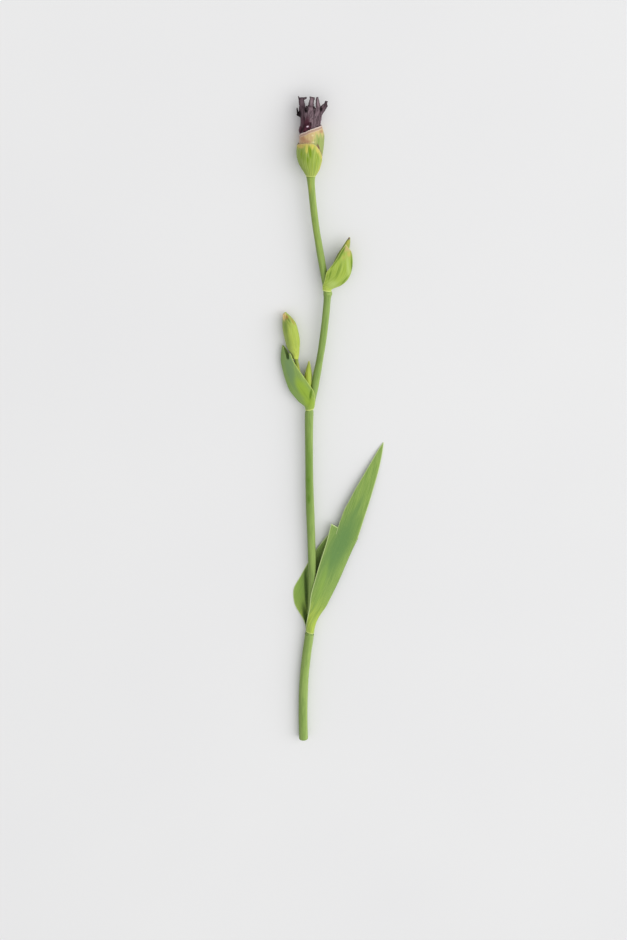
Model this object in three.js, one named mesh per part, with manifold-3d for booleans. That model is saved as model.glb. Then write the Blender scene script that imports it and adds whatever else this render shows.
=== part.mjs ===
// A picked flowering stem of a bearded iris, lying on a flat surface: the scape with its clasping
// leaf, two budded side shoots in their bracts, and a dark, ragged flower pushing out of its spathe.
// Millimetres. +Y runs up the stem from the cut end, +X to the side its leaf is on, +Z up.
import * as THREE from "three";
import { mergeVertices } from "three/addons/utils/BufferGeometryUtils.js";
import Module from "manifold-3d";

const wasm = await Module();
wasm.setup();

// ---------------------------------------------------------------- driving dimensions

const CLEARANCE = 0.6; // from a round stem to the sheet that wraps it
const SHEET = 0.7; // thickness of leaf and bract
const VALVE = 0.7; // thickness of the papery spathe valves
const PETAL = 0.7; // thickness of a tepal
const LAY = 5.2; // height of the stem's axis at the cut end
const RISE = 0.0103; // climb of that axis for each millimetre up the stem

const SPATHE_DEPTH = 0.87; // depth of the spathe over its width
const FLOWER_DEPTH = 0.82; // and of the flower inside it
const HEAD_HEIGHT = 12; // height of its axis
const SPATHE_BASE = 690; // along the stem, where the two valves stand on it
const PETAL_BASE = 719.8; // where the tepals leave the flower's tube
const HEAD_STEP = 6; // spacing of the rows that shape the head

// Stem axis and radius, from the cut to the flower: [x, y, radius]. It turns a little at each node.
const STEM = [
  [-12.0, 0, 5.3], [-12.5, 28, 5.3], [-12.2, 56, 5.3], [-11.0, 86, 5.25], [-8.0, 118, 5.2],
  [-5.0, 141, 5.2], [-4.8, 144.5, 5.2], [-4.5, 147, 4.2], [-2.9, 166, 4.4], [-1.4, 192, 4.6],
  [-1.2, 218, 4.6], [-1.8, 244, 4.5], [-2.5, 270, 4.5], [-3.4, 296, 4.7], [-4.2, 320, 4.6],
  [-4.7, 346, 4.4], [-4.9, 372, 4.35], [-5.0, 398, 4.45], [-4.9, 418, 4.7], [-4.6, 425.5, 4.7],
  [-4.2, 429, 3.9], [-2.3, 437, 3.9], [-0.7, 446, 4.1], [1.1, 455, 4.2], [4.0, 472, 4.1],
  [6.8, 488, 3.7], [9.5, 506, 3.75], [11.7, 524, 3.8], [13.5, 542, 3.8], [14.5, 555.5, 3.8],
  [14.8, 560, 4.3], [15.0, 562.4, 4.9], [14.4, 564.6, 4.2], [13.5, 567.6, 3.5], [12.6, 575, 3.5],
  [10.4, 588, 3.7], [7.8, 603, 3.8], [5.5, 617, 3.7], [3.2, 631, 3.55], [1.2, 646, 3.55],
  [-0.6, 662, 3.6], [-1.9, 676, 3.7], [-2.6, 684.5, 4.1], [-2.8, 689.7, 4.8],
];
const STEM_SIDES = 12;

// Keel and the two wing margins of the clasping leaf, row by row up the sheath: [x, y, z].
const LEAF_KEEL = [
  [1.8, 146, 6.7], [7, 163, 6.5], [14.5, 181, 6.5], [22.3, 199, 6.4],
  [29.5, 216, 6.2], [37, 236, 5.9], [44, 254, 5.6], [51, 270, 5.3],
];
const LEAF_FRONT = [
  [-10, 150, 11], [-7.7, 164, 12.8], [-5, 181, 13.2], [-3, 200, 13.2],
  [1, 217, 13], [7.5, 242, 12], [14, 264, 10.4], [20, 289, 8.6],
];
const LEAF_BACK = [
  [-9.8, 145, 2.4], [-16.5, 161, 0.5], [-22, 180, 0.3], [-23.2, 200, 0.3],
  [-15, 218, 0.3], [-4, 240, 0.6], [7.5, 260, 3.2], [18.5, 277, 7.2],
];
// Outer edge and keel of the blade above the sheath, where the two wings are one: [x, y, z].
const BLADE_EDGE = [
  [28, 286, 8.0], [34.2, 305, 7.6], [40.3, 317.5, 7.0], [46.5, 330.5, 6.3], [53, 342.5, 5.4],
  [59.5, 354.5, 4.4], [65.8, 366, 3.1], [71.8, 377, 1.6], [77.2, 385.5, 0.4],
];
const BLADE_KEEL = [
  [52.6, 277, 5.2], [58.2, 297, 4.9], [62.3, 311, 4.5], [65.7, 324, 4.0], [69.1, 337, 3.4],
  [72.3, 350, 2.6], [74.8, 362, 1.7], [76.8, 374, 0.9], [78, 385, 0.3],
];
const BLADE_THICK = [1.7, 1.9, 1.9, 1.8, 1.7, 1.5, 1.3, 1.1, 0.9];
const CLASP = 160; // degrees that each wing reaches round the stem at its node
const BLADE_SHARE = 0.76; // of the sheath's top that the blade grows from
const BLADE_RIM = 0.7; // thickness at the blade's two edges

// The leafy bract at the lower node, laid out like the leaf's sheath: [x, y, z].
const LOW_KEEL = [
  [-10.4, 428.2, 9.6], [-13.8, 435, 9.3], [-19.2, 442, 8.8], [-25.3, 450, 8.3], [-29.3, 460, 7.8],
  [-32.4, 471, 7.4], [-34.9, 483, 7.0], [-35, 490.5, 6.8], [-34.4, 496.6, 6.6], [-33.7, 501.8, 6.4],
];
const LOW_FRONT = [
  [0.6, 430.6, 12], [1.2, 441, 14], [0.8, 451, 14.8], [-4, 459.5, 15], [-10.3, 469, 14.6],
  [-16.7, 478.5, 14], [-21.4, 486.5, 13.2], [-24.6, 494.5, 12.2], [-29, 497, 10], [-32.6, 500.8, 7.4],
];
const LOW_BACK = [
  [0.6, 429.2, 6], [1.0, 437, 4.2], [-0.4, 445, 3.0], [-5, 453, 1.6], [-11.5, 462, 0.5],
  [-18, 472, 0.3], [-23.5, 483, 0.3], [-27.5, 492.5, 0.7], [-30.3, 498, 2.2], [-32.8, 502.3, 4.9],
];
// The bay between the bract's ear and its tip: [x, y].
const LOW_NOTCH = [[-26.1, 503], [-26.3, 488.4], [-28.8, 488.2], [-30.4, 494], [-32.6, 503]];

// The boat-shaped bract at the upper node: [x, y, z].
const UP_KEEL = [
  [19, 565, 11], [26, 569.7, 11], [33, 574.8, 11], [37.8, 581.3, 10.9], [40.3, 589.5, 10.7],
  [41, 597, 10.5], [40.6, 603.5, 10.3], [39.8, 607.3, 10.2], [38.8, 610, 10.2],
];
const UP_FRONT = [
  [9.2, 567, 12.5], [10.4, 573.5, 15.7], [12.2, 581, 16.8], [13.4, 587.5, 17.8], [16.2, 592, 18.2],
  [20.7, 597.6, 18], [24.9, 603.6, 17.2], [28.9, 610.6, 15.9], [33.9, 618.2, 14.9],
];
const UP_BACK = [
  [9.2, 566, 9.5], [10.6, 571, 6.8], [12.8, 577, 5.2], [14.4, 582.5, 4.0], [17.2, 587, 3.2],
  [21.4, 592, 3.0], [25.6, 597.5, 3.4], [30.4, 603.5, 4.4], [35.8, 608.4, 6.2],
];

// Spindle shapes, base to tip: [x, y, z, half width, half depth].
const LOW_BUD = [
  [-18.9, 486.8, 7.8, 2.4, 2.4], [-19.2, 494, 7.7, 3.9, 3.7], [-21.1, 502, 7.6, 6.5, 5.6],
  [-22.3, 510, 7.6, 7.4, 6.5], [-23.9, 518, 7.6, 7.5, 6.6], [-25.6, 526, 7.5, 6.9, 6.0],
  [-28.1, 533.5, 7.4, 4.4, 4.1], [-30.5, 540, 7.4, 1.2, 1.2],
];
const UP_BUD = [
  [20.8, 577.6, 11, 2.2, 2.2], [22.9, 584, 11, 4.8, 3.6], [25.3, 590.5, 10.9, 6.0, 4.2],
  [28.0, 597, 10.8, 6.2, 4.3], [30.7, 604, 10.7, 5.5, 3.9], [33.6, 611.5, 10.6, 4.0, 3.1],
  [36.1, 618.5, 10.5, 2.5, 2.1], [37.7, 624, 10.5, 0.8, 0.8],
];
const BUD_SIDES = 14;
const BUD_STEPS = 14;

// Stalk of the side bud inside the lower bract, and of the upper bud: [x, y, z, radius].
const LOW_STALK = [[-5, 434, 9.6, 2.4], [-10, 449, 9.0, 2.2], [-15, 466, 8.3, 2.1], [-19, 486, 7.8, 2.2]];
const UP_STALK = [[13.8, 565, 11, 2.4], [17.4, 570.2, 11, 2.2], [20.2, 576.2, 11, 2.2]];

// The small bract in the lower axil: [x, y, crest height, half width].
const BRACTLET = [
  [-6.2, 450, 12.4, 2.6], [-5.9, 458, 12.8, 4.6], [-5.8, 467, 12.7, 4.3],
  [-5.4, 474, 12.3, 3.2], [-5.0, 480.5, 11.6, 1.9], [-4.9, 486.2, 10.8, 0.6],
];
const BRACTLET_DROP = 3.6; // fall from its crest to its margins at the middle

// Head rows, a HEAD_STEP apart: [middle x, half width].
const OUTER_VALVE = [
  [-2.7, 5.1], [-2.6, 8.6], [-3.4, 11.3], [-3.7, 13.1], [-3.6, 14.0], [-3.1, 14.1],
  [-2.3, 14.0], [-2.0, 13.7],
];
const INNER_VALVE = [
  [-2.7, 3.9], [-2.6, 7.4], [-3.3, 10.1], [-3.5, 11.9], [-3.1, 12.6], [-2.5, 12.6],
  [-2.0, 12.8], [-1.9, 12.9], [-2.5, 12.1], [-2.9, 11.1], [-3.0, 10.2],
];
const FLOWER = [
  [-2.2, 8.8], [-2.3, 10.2], [-2.8, 10.9], [-3.5, 11.3], [-3.1, 10.1], [-2.6, 10.7],
  [-2.6, 11.2], [-2.6, 11.5], [-2.6, 11.8],
];

// Height of each valve's margin round the head: [degrees from +X, y].
const OUTER_RIM = [
  [9, 706.5], [24, 711.5], [38, 716], [52, 720.2], [67, 724], [82, 726.4], [110, 726.6],
  [135, 725.4], [158, 724], [180, 722.2], [215, 723.6], [245, 725.6], [278, 726.4], [308, 720.2],
  [336, 710.2], [351, 704.2],
];
const INNER_RIM = [
  [-172, 732.2], [-150, 734.2], [-110, 736.7], [-63, 740.2], [-25, 742.2], [0, 742.6],
  [25, 742.8], [63, 742], [95, 740.2], [122, 737.4], [150, 735.2], [172, 732.2],
];

// The tepals: layer (0 outer, 1 inner), torn upper edge [degrees, y], and the shreds that stand
// above it, each a run of [x, y, z, half width] with the way its flat side faces, in degrees.
const TEPALS = {
  outer_tepal_1: {
    layer: 0,
    rim: [
      [31, 759], [38, 762.5], [61, 763.5], [68, 761], [75, 763.5], [103, 763.5], [110, 760],
      [120, 758.5], [129, 760],
    ],
    shreds: [
      {
        face: 95,
        run: [
          [-2.6, 752, 20.5, 3.3], [-2.4, 760, 20.6, 2.7], [-2.3, 766, 20.6, 2.0],
          [-1.9, 770, 20.5, 2.2], [-1.2, 773, 20.3, 2.6],
        ],
      },
      {
        face: 65,
        run: [
          [3.6, 752, 19.0, 2.7], [3.8, 760, 19.1, 2.3], [3.9, 767, 18.9, 1.7], [3.8, 772.6, 18.5, 1.0],
        ],
      },
    ],
  },
  outer_tepal_2: {
    layer: 0,
    rim: [
      [132, 760], [140, 763], [160, 763], [170, 758], [182, 757], [195, 755], [210, 760], [228, 757],
      [246, 761], [262, 757],
    ],
    shreds: [
      {
        face: 108,
        run: [
          [-12.2, 752, 16.0, 3.2], [-12.4, 758, 16.3, 2.8], [-12.4, 764, 16.4, 2.7],
          [-12.4, 769, 16.5, 2.8], [-12.6, 771.8, 16.5, 2.2],
        ],
      },
      {
        face: 100,
        run: [
          [-13, 770.5, 16.5, 1.2], [-10.3, 770.4, 16.7, 1.4], [-8.4, 771.1, 16.8, 1.1],
          [-6.9, 771.9, 16.9, 0.7],
        ],
      },
      {
        face: 108,
        run: [
          [-14.0, 768.6, 16.0, 1.0], [-14.6, 770.7, 15.9, 0.8], [-15.3, 772.9, 15.8, 0.5],
        ],
      },
      {
        face: 90,
        run: [
          [-11.8, 753.6, 13, 3.6], [-14, 754.2, 13, 3.0], [-15.6, 754.6, 13, 2.5],
          [-16.8, 755, 13, 1.7],
        ],
      },
      { face: 90, run: [[-15.9, 755.4, 13, 1.0], [-16.4, 758, 13, 0.8], [-16.8, 760.6, 13, 0.5]] },
    ],
  },
  outer_tepal_3: {
    layer: 0,
    rim: [
      [-96, 757], [-80, 761], [-62, 756], [-44, 760], [-28, 757], [-14, 758], [2, 759], [16, 759],
      [29, 757],
    ],
    shreds: [
      {
        face: 80,
        run: [
          [6.2, 751.5, 12.7, 3.6], [8.4, 756, 12.8, 3.2], [10.7, 759.6, 12.9, 2.8],
          [11.9, 762.3, 13, 2.4], [12.4, 764.4, 13, 1.3], [13.2, 767.4, 13, 1.2],
        ],
      },
    ],
  },
  inner_tepal_1: {
    layer: 1,
    rim: [
      [-29, 756.2], [-16, 751.2], [30, 751.2], [40, 759.2], [52, 761.2], [66, 759.2], [78, 762.2],
      [89, 758.2],
    ],
    shreds: [],
  },
  inner_tepal_2: {
    layer: 1,
    rim: [
      [91, 760.2], [102, 757.2], [112, 758.2], [122, 752.2], [178, 751.2], [194, 758.2], [209, 755.2],
    ],
    shreds: [],
  },
  inner_tepal_3: {
    layer: 1,
    rim: [
      [211, 757.2], [226, 761.2], [244, 758.2], [258, 761.2], [272, 757.2], [288, 761.2], [304, 757.2],
      [318, 760.2], [329, 756.2],
    ],
    shreds: [],
  },
};
const SHRED_THICK = 0.45; // half thickness of a shred
const LAYER_STEP = 1.8; // how far the inner tepals lie inside the outer ones
const PLEATS = 11; // lengthwise folds round the flower
const PLEAT_DEPTH = 0.45;

// ---------------------------------------------------------------- shape helpers

const clamp = (value, low, high) => Math.min(high, Math.max(low, value));
const mix = (a, b, f) => a + (b - a) * f;
const ease = (f) => f * f * (3 - 2 * f);
const radians = THREE.MathUtils.degToRad;
const vec = (p) => new THREE.Vector3(p[0], p[1], p[2]);
const stemHeight = (y) => LAY + RISE * y;

// Every column of `rows` at t, from 0 at the first row to 1 at the last, on a Catmull-Rom curve.
function along(rows, t) {
  const place = clamp(t, 0, 1) * (rows.length - 1);
  const i = Math.min(Math.floor(place), rows.length - 2);
  const f = place - i;
  return rows[0].map((_, column) => {
    const b = rows[i][column];
    const c = rows[i + 1][column];
    const a = i > 0 ? rows[i - 1][column] : 2 * b - c;
    const d = i + 2 < rows.length ? rows[i + 2][column] : 2 * c - b;
    return b + 0.5 * f * (c - a + f * (2 * a - 5 * b + 4 * c - d + f * (3 * (b - c) + d - a)));
  });
}

// The height of a margin at one angle, straight between its points.
function rimAt(rim, angle) {
  const next = rim.findIndex((point) => point[0] >= angle);
  if (next <= 0) return rim[next < 0 ? rim.length - 1 : 0][1];
  const [a, b] = [rim[next - 1], rim[next]];
  return mix(a[1], b[1], (angle - a[0]) / (b[0] - a[0]));
}

// A closed geometry from vertices and index, turned to face out.
function solidFrom(points, index) {
  const volume = (i) => points[index[i]].dot(points[index[i + 1]].clone().cross(points[index[i + 2]]));
  let sum = 0;
  for (let i = 0; i < index.length; i += 3) sum += volume(i);
  const facing = sum < 0 ? index.slice().reverse() : index;
  const geometry = new THREE.BufferGeometry().setFromPoints(points);
  return geometry.setIndex(facing);
}

// A solid through a row of closed rings, with a flat or domed cap on each end.
function loft(rings, dome = 0) {
  const count = rings[0].length;
  const points = rings.flat();
  const index = [];
  for (let r = 0; r + 1 < rings.length; r++) {
    for (let i = 0; i < count; i++) {
      const [a, b] = [r * count + i, r * count + ((i + 1) % count)];
      index.push(a, b, b + count, a, b + count, a + count);
    }
  }
  [[0, 1], [rings.length - 1, rings.length - 2]].forEach(([end, before], cap) => {
    const middle = centreOf(rings[end]);
    const away = middle.clone().sub(centreOf(rings[before])).setLength(dome);
    points.push(middle.add(away));
    const hub = points.length - 1;
    for (let i = 0; i < count; i++) {
      const [a, b] = [end * count + i, end * count + ((i + 1) % count)];
      index.push(...(cap ? [a, b, hub] : [b, a, hub]));
    }
  });
  return solidFrom(points, index);
}

function centreOf(ring) {
  const sum = new THREE.Vector3();
  ring.forEach((point) => sum.add(point));
  return sum.divideScalar(ring.length);
}

// A sheet of even thickness about surface(u, v), with u and v from 0 to 1: two faces whose
// quads are split alike, and a strip round the rim.
function sheet(surface, thickness, across, up) {
  const step = 1e-3;
  const outer = [];
  const inner = [];
  for (let j = 0; j <= up; j++) {
    for (let i = 0; i <= across; i++) {
      const [u, v] = [i / across, j / up];
      const du = surface(Math.min(1, u + step), v).sub(surface(Math.max(0, u - step), v));
      const dv = surface(u, Math.min(1, v + step)).sub(surface(u, Math.max(0, v - step)));
      const half = du.cross(dv).setLength(thickness / 2);
      const middle = surface(u, v);
      outer.push(middle.clone().add(half));
      inner.push(middle.clone().sub(half));
    }
  }
  const width = across + 1;
  const inside = outer.length;
  const index = [];
  for (let j = 0; j < up; j++) {
    for (let i = 0; i < across; i++) {
      const a = j * width + i;
      const [b, c, d] = [a + 1, a + width, a + width + 1];
      index.push(a, b, d, a, d, c);
      index.push(inside + a, inside + d, inside + b, inside + a, inside + c, inside + d);
    }
  }
  const rim = [];
  for (let i = 0; i < across; i++) rim.push(i);
  for (let j = 0; j < up; j++) rim.push(j * width + across);
  for (let i = across; i > 0; i--) rim.push(up * width + i);
  for (let j = up; j > 0; j--) rim.push(j * width);
  rim.forEach((a, k) => {
    const b = rim[(k + 1) % rim.length];
    index.push(b, a, inside + a, b, inside + a, inside + b);
  });
  return solidFrom(outer.concat(inner), index);
}

// A point of the ellipse about a spine row [x, y, z, half width, half depth], square to the
// spine as seen from above, pushed out by `grow`.
function spindlePoint(rows, t, angle, grow = 0) {
  const [x, y, z, a, b] = along(rows, t);
  const before = along(rows, t - 0.01);
  const after = along(rows, t + 0.01);
  const heading = new THREE.Vector2(after[0] - before[0], after[1] - before[1]).normalize();
  const reach = (a + grow) * Math.cos(angle);
  return new THREE.Vector3(x + heading.y * reach, y - heading.x * reach, z + (b + grow) * Math.sin(angle));
}

const turn = (i, sides) => (2 * Math.PI * i) / sides;

function spindle(rows, sides, steps, dome = 0) {
  const ring = (t) => Array.from({ length: sides }, (_, i) => spindlePoint(rows, t, turn(i, sides)));
  return loft(Array.from({ length: steps + 1 }, (_, i) => ring(i / steps)), dome);
}

// ---------------------------------------------------------------- cutting and joining

function toSolid(geometry) {
  const merged = mergeVertices(geometry, 1e-4);
  return new wasm.Manifold(
    new wasm.Mesh({
      numProp: 3,
      vertProperties: new Float32Array(merged.attributes.position.array),
      triVerts: new Uint32Array(merged.index.array),
    }),
  );
}

function toGeometry(solid) {
  const made = solid.getMesh();
  return new THREE.BufferGeometry()
    .setAttribute("position", new THREE.BufferAttribute(made.vertProperties, 3))
    .setIndex(new THREE.BufferAttribute(made.triVerts, 1));
}

const bare = (geometry) => geometry.deleteAttribute("normal").deleteAttribute("uv");
const larger = (a, b) => (a.volume() > b.volume() ? a : b);
const whole = (solid) => toGeometry(solid.decompose().reduce(larger)); // without a cut's crumbs
const join = (...geometries) => whole(geometries.map(toSolid).reduce((a, b) => a.add(b)));
const cut = (geometry, tool) => whole(toSolid(geometry).subtract(toSolid(tool)));

// Everything below the surface that the stem lies on.
const underFloor = bare(new THREE.BoxGeometry(400, 1000, 40).translate(0, 380, -20));
const laid = (geometry) => cut(geometry, underFloor);

// ---------------------------------------------------------------- the stem

// The point of the stem's axis level with y, and its radius there.
function stemAt(y) {
  const i = clamp(STEM.findIndex((row) => row[1] > y), 1, STEM.length - 1);
  const [a, b] = [STEM[i - 1], STEM[i]];
  const f = clamp((y - a[1]) / (b[1] - a[1]), 0, 1);
  return { x: mix(a[0], b[0], f), z: stemHeight(y), radius: mix(a[2], b[2], f) };
}

// Moves a point of a sheet out from a round stem or stalk until the sheet clears it.
function clearOf({ x, z, radius }, point) {
  const [dx, dz] = [point.x - x, point.z - z];
  const distance = Math.hypot(dx, dz);
  const least = radius + CLEARANCE + SHEET / 2;
  if (distance >= least) return point;
  const push = least / distance;
  return point.set(x + dx * push, point.y, z + dz * push);
}

function scape() {
  const rows = STEM.map(([x, y, radius]) => [x, y, stemHeight(y), radius, radius]);
  const main = spindle(rows, STEM_SIDES, rows.length - 1);
  const receptacle = spindle(
    [[-2.7, 688, 12.2, 2.1, 1.5], [-2.7, 692, 12.1, 2.2, 1.7], [-2.7, 696.6, 12, 2.8, 2.4]],
    STEM_SIDES, 4,
  );
  const round = ([x, y, z, radius]) => [x, y, z, radius, radius];
  const lowStalk = spindle(LOW_STALK.map(round), 10, 8);
  const upStalk = spindle(UP_STALK.map(round), 10, 4);
  return laid(join(main, receptacle, lowStalk, upStalk));
}

// ---------------------------------------------------------------- folded leaf and bracts

// A folded leaf's middle surface: u runs from the front margin over the keel to the back one.
// Near the node it wraps the stem; each wing rises or drops off the keel, then runs level.
function foldedSurface(keel, front, back, wrapRows, side) {
  const rowsUp = keel.length - 1;
  return (u, v) => {
    const fold = along(keel, v);
    const onFront = u < 0.5;
    const reach = Math.abs(1 - 2 * u);
    const margin = along(onFront ? front : back, v);
    const lift = onFront ? 1 - (1 - reach) ** 2 : 1 - (1 - reach) ** 3;
    const wing = new THREE.Vector3(
      mix(fold[0], margin[0], reach),
      mix(fold[1], margin[1], reach),
      mix(fold[2], margin[2], lift),
    );
    const wrap = ease(clamp(1 - (v * rowsUp) / wrapRows, 0, 1));
    if (wrap > 0) {
      const { x, z, radius } = stemAt(wing.y);
      const span = radians(CLASP) * reach * (onFront ? 1 : -1);
      const ring = radius + CLEARANCE + SHEET / 2;
      wing.x = mix(wing.x, x + side * ring * Math.cos(span), wrap);
      wing.z = mix(wing.z, z + ring * Math.sin(span), wrap);
    }
    return clearOf(stemAt(wing.y), wing);
  };
}

// The same surface with its rows drawn together near the node, where it turns most.
const rowsToBase = (surface) => (u, v) => surface(u, v ** 1.4);

function stemLeaf() {
  const surface = foldedSurface(LEAF_KEEL, LEAF_FRONT, LEAF_BACK, 2.2, 1);
  const sheath = sheet(surface, SHEET, 16, 14);
  const points = 5; // on each face of the blade, keel to edge
  const rings = [];
  // The blade grows out of the front wing, and takes in the back wing at the top of the sheath.
  [[0.86, 0.12, 0.12], [1, 0.5, 0]].forEach(([v, rise, fall]) => {
    const upper = [];
    const lower = [];
    for (let i = 0; i < points; i++) {
      const reach = (BLADE_SHARE * i) / (points - 1);
      const top = surface(0.5 - reach / 2, v);
      const bottom = fall ? top.clone() : surface(0.5 + reach / 2, v);
      bottom.setX(top.x).setY(top.y);
      upper.push(top.setZ(top.z + rise));
      lower.push(bottom.setZ(bottom.z - (fall || rise)));
    }
    rings.push(upper.concat(lower.reverse()));
  });
  const steps = 14;
  for (let j = 1; j <= steps; j++) {
    const t = j / steps;
    const [edge, keel] = [vec(along(BLADE_EDGE, t)), vec(along(BLADE_KEEL, t))];
    const [thick] = along(BLADE_THICK.map((value) => [value]), t);
    const upper = [];
    const lower = [];
    for (let i = 0; i < points; i++) {
      const f = i / (points - 1);
      const half = mix(BLADE_RIM, thick, Math.sin(Math.PI * f)) / 2;
      const middle = keel.clone().lerp(edge, f);
      upper.push(middle.clone().setZ(middle.z + half));
      lower.push(middle.clone().setZ(middle.z - half));
    }
    rings.push(upper.concat(lower.reverse()));
  }
  return laid(join(sheath, loft(rings)));
}

function lowerBract() {
  const surface = rowsToBase(foldedSurface(LOW_KEEL, LOW_FRONT, LOW_BACK, 1.5, -1));
  const notch = new THREE.Shape(LOW_NOTCH.map(([x, y]) => new THREE.Vector2(x, y)));
  const bay = new THREE.ExtrudeGeometry(notch, { depth: 12, bevelEnabled: false }).translate(0, 0, 7.2);
  return laid(cut(sheet(surface, SHEET, 14, 14), bare(bay)));
}

function upperBract() {
  const surface = rowsToBase(foldedSurface(UP_KEEL, UP_FRONT, UP_BACK, 1.4, 1));
  return laid(sheet(surface, SHEET, 14, 13));
}

function axilBractlet() {
  const surface = (u, v) => {
    const [x, y, crest, half] = along(BRACTLET, v);
    const side = 2 * u - 1;
    const drop = BRACTLET_DROP * Math.min(1, 3 * v) * Math.min(1, 1.4 * (1 - v) + 0.1);
    const point = new THREE.Vector3(x + half * side, y, crest - drop * side * side);
    const [bottom, top] = [LOW_STALK[0][1], LOW_STALK[LOW_STALK.length - 1][1]];
    const [sx, , sz, radius] = along(LOW_STALK, (y - bottom) / (top - bottom));
    return clearOf({ x: sx, z: sz, radius }, clearOf(stemAt(y), point));
  };
  return sheet(surface, SHEET, 6, 8);
}

// ---------------------------------------------------------------- buds

// A valve wrapped round a bud, open along one side and drawn out to a point at the tip.
function budValve(rows, first, last) {
  const surface = (u, v) => {
    const taper = Math.sin(Math.PI * u) ** 0.7;
    const t = mix(0.03, mix(0.45, 1, taper), v);
    return spindlePoint(rows, t, radians(mix(first, last, u)), VALVE / 2 + CLEARANCE);
  };
  return sheet(surface, VALVE, 14, 9);
}

// ---------------------------------------------------------------- the flower head

// The point of a head layer at an angle and a height along the stem, pushed out by `out`.
function headPoint(rows, depth, angle, y, from, out) {
  const [middle, half] = along(rows, (y - from) / (HEAD_STEP * (rows.length - 1)));
  const [cos, sin] = [Math.cos(angle), Math.sin(angle)];
  return new THREE.Vector3(
    middle + (half + out) * cos, y, HEAD_HEIGHT + (half * depth + out) * sin,
  );
}

function headValve(rows, rim, across, up) {
  const [first, last] = [rim[0][0], rim[rim.length - 1][0]];
  const surface = (u, v) => {
    const degrees = mix(first, last, u);
    const y = mix(SPATHE_BASE, rimAt(rim, degrees), v);
    return headPoint(rows, SPATHE_DEPTH, radians(degrees), y, SPATHE_BASE, -VALVE / 2);
  };
  return sheet(surface, VALVE, across, up);
}

// A torn strip of tepal: rings of a flat oval along the run, square to its heading.
function shred({ face, run }) {
  const steps = 6;
  const facing = new THREE.Vector3(Math.cos(radians(face)), 0, Math.sin(radians(face)));
  const rings = Array.from({ length: steps + 1 }, (_, j) => {
    const t = j / steps;
    const heading = vec(along(run, t + 0.01)).sub(vec(along(run, t - 0.01))).normalize();
    const flat = heading.clone().cross(facing).normalize();
    const thin = flat.clone().cross(heading);
    const row = along(run, t);
    return Array.from({ length: 6 }, (_, i) =>
      vec(row)
        .addScaledVector(flat, row[3] * Math.cos(turn(i, 6)))
        .addScaledVector(thin, SHRED_THICK * Math.sin(turn(i, 6))));
  });
  return loft(rings);
}

function tepal({ layer, rim, shreds }) {
  const [first, last] = [rim[0][0], rim[rim.length - 1][0]];
  const surface = (u, v) => {
    const degrees = mix(first, last, u);
    const angle = radians(degrees);
    const y = mix(PETAL_BASE, rimAt(rim, degrees), v);
    const pleat = PLEAT_DEPTH * Math.sin(PLEATS * angle + 2 * v) * ease(v);
    const out = pleat - PETAL / 2 - layer * LAYER_STEP;
    return headPoint(FLOWER, FLOWER_DEPTH, angle, y, PETAL_BASE, out);
  };
  return [sheet(surface, PETAL, 16, 6), ...shreds.map(shred)].reduce((a, b) => join(a, b));
}

// Ovary and perianth tube: a slim neck on the stem's tip that opens into the tepals' seat.
function flowerTube() {
  const z = HEAD_HEIGHT;
  return spindle(
    [
      [-2.7, 697, z, 2.6, 2.4], [-2.7, 701, z, 3.6, 3.4], [-2.7, 705, z, 3.8, 3.5],
      [-2.7, 709, z, 3.4, 3.2], [-2.5, 713, z, 4.2, 4.0], [-2.2, 716.8, z, 6.6, 5.9],
      [-2.2, 719.4, z, 8.6, 7.5],
    ],
    12, 8,
  );
}

// ---------------------------------------------------------------- the assembly

const FINISH = {
  stem: ["#7d9a4e", 0.55],
  leaf: ["#6f9450", 0.5],
  bract: ["#93ad4b", 0.5],
  bud: ["#9aac4e", 0.5],
  papery: ["#b39a6a", 0.7],
  flower: ["#4d3a42", 0.65],
};

function piece(name, geometry, [color, roughness]) {
  const smooth = geometry.toNonIndexed();
  smooth.computeVertexNormals();
  const mesh = new THREE.Mesh(smooth, new THREE.MeshStandardMaterial({ color, roughness, metalness: 0 }));
  mesh.name = name;
  return mesh;
}

const plant = new THREE.Group();
plant.add(piece("scape", scape(), FINISH.stem));
plant.add(piece("stem_leaf", stemLeaf(), FINISH.leaf));
plant.add(piece("lower_bract", lowerBract(), FINISH.bract));
plant.add(piece("axil_bractlet", axilBractlet(), FINISH.bract));
plant.add(piece("lower_bud", laid(spindle(LOW_BUD, BUD_SIDES, BUD_STEPS, 0.8)), FINISH.bud));
plant.add(piece("lower_bud_valve", laid(budValve(LOW_BUD, 55, 305)), FINISH.bud));
plant.add(piece("upper_bract", upperBract(), FINISH.bract));
plant.add(piece("upper_bud", spindle(UP_BUD, BUD_SIDES, BUD_STEPS, 0.8), FINISH.bud));
plant.add(piece("head_outer_valve", laid(headValve(OUTER_VALVE, OUTER_RIM, 24, 7)), FINISH.bract));
plant.add(piece("head_inner_valve", headValve(INNER_VALVE, INNER_RIM, 24, 8), FINISH.papery));
plant.add(piece("flower_tube", flowerTube(), FINISH.flower));
for (const [name, shape] of Object.entries(TEPALS)) {
  plant.add(piece(name, tepal(shape), FINISH.flower));
}

// The part's origin is under the middle of its bounding box, on the surface it lies on.
const middle = new THREE.Box3().setFromObject(plant).getCenter(new THREE.Vector3());
plant.position.set(-middle.x, -middle.y, 0);

const part = new THREE.Group();
part.add(plant);
export default part;
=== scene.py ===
"""The finished look of a picked bearded iris stem that lies on a flat surface.

Each sub-assembly is a class that holds its sizes in millimetres, in the stem's own frame: X to
the side its leaf is on, Y up the stem from the cut end, Z up from the surface. Meshes are moved
to the part's frame, in metres, when they are made.
"""

import logging
import math
from dataclasses import dataclass, field
from enum import Enum

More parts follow.
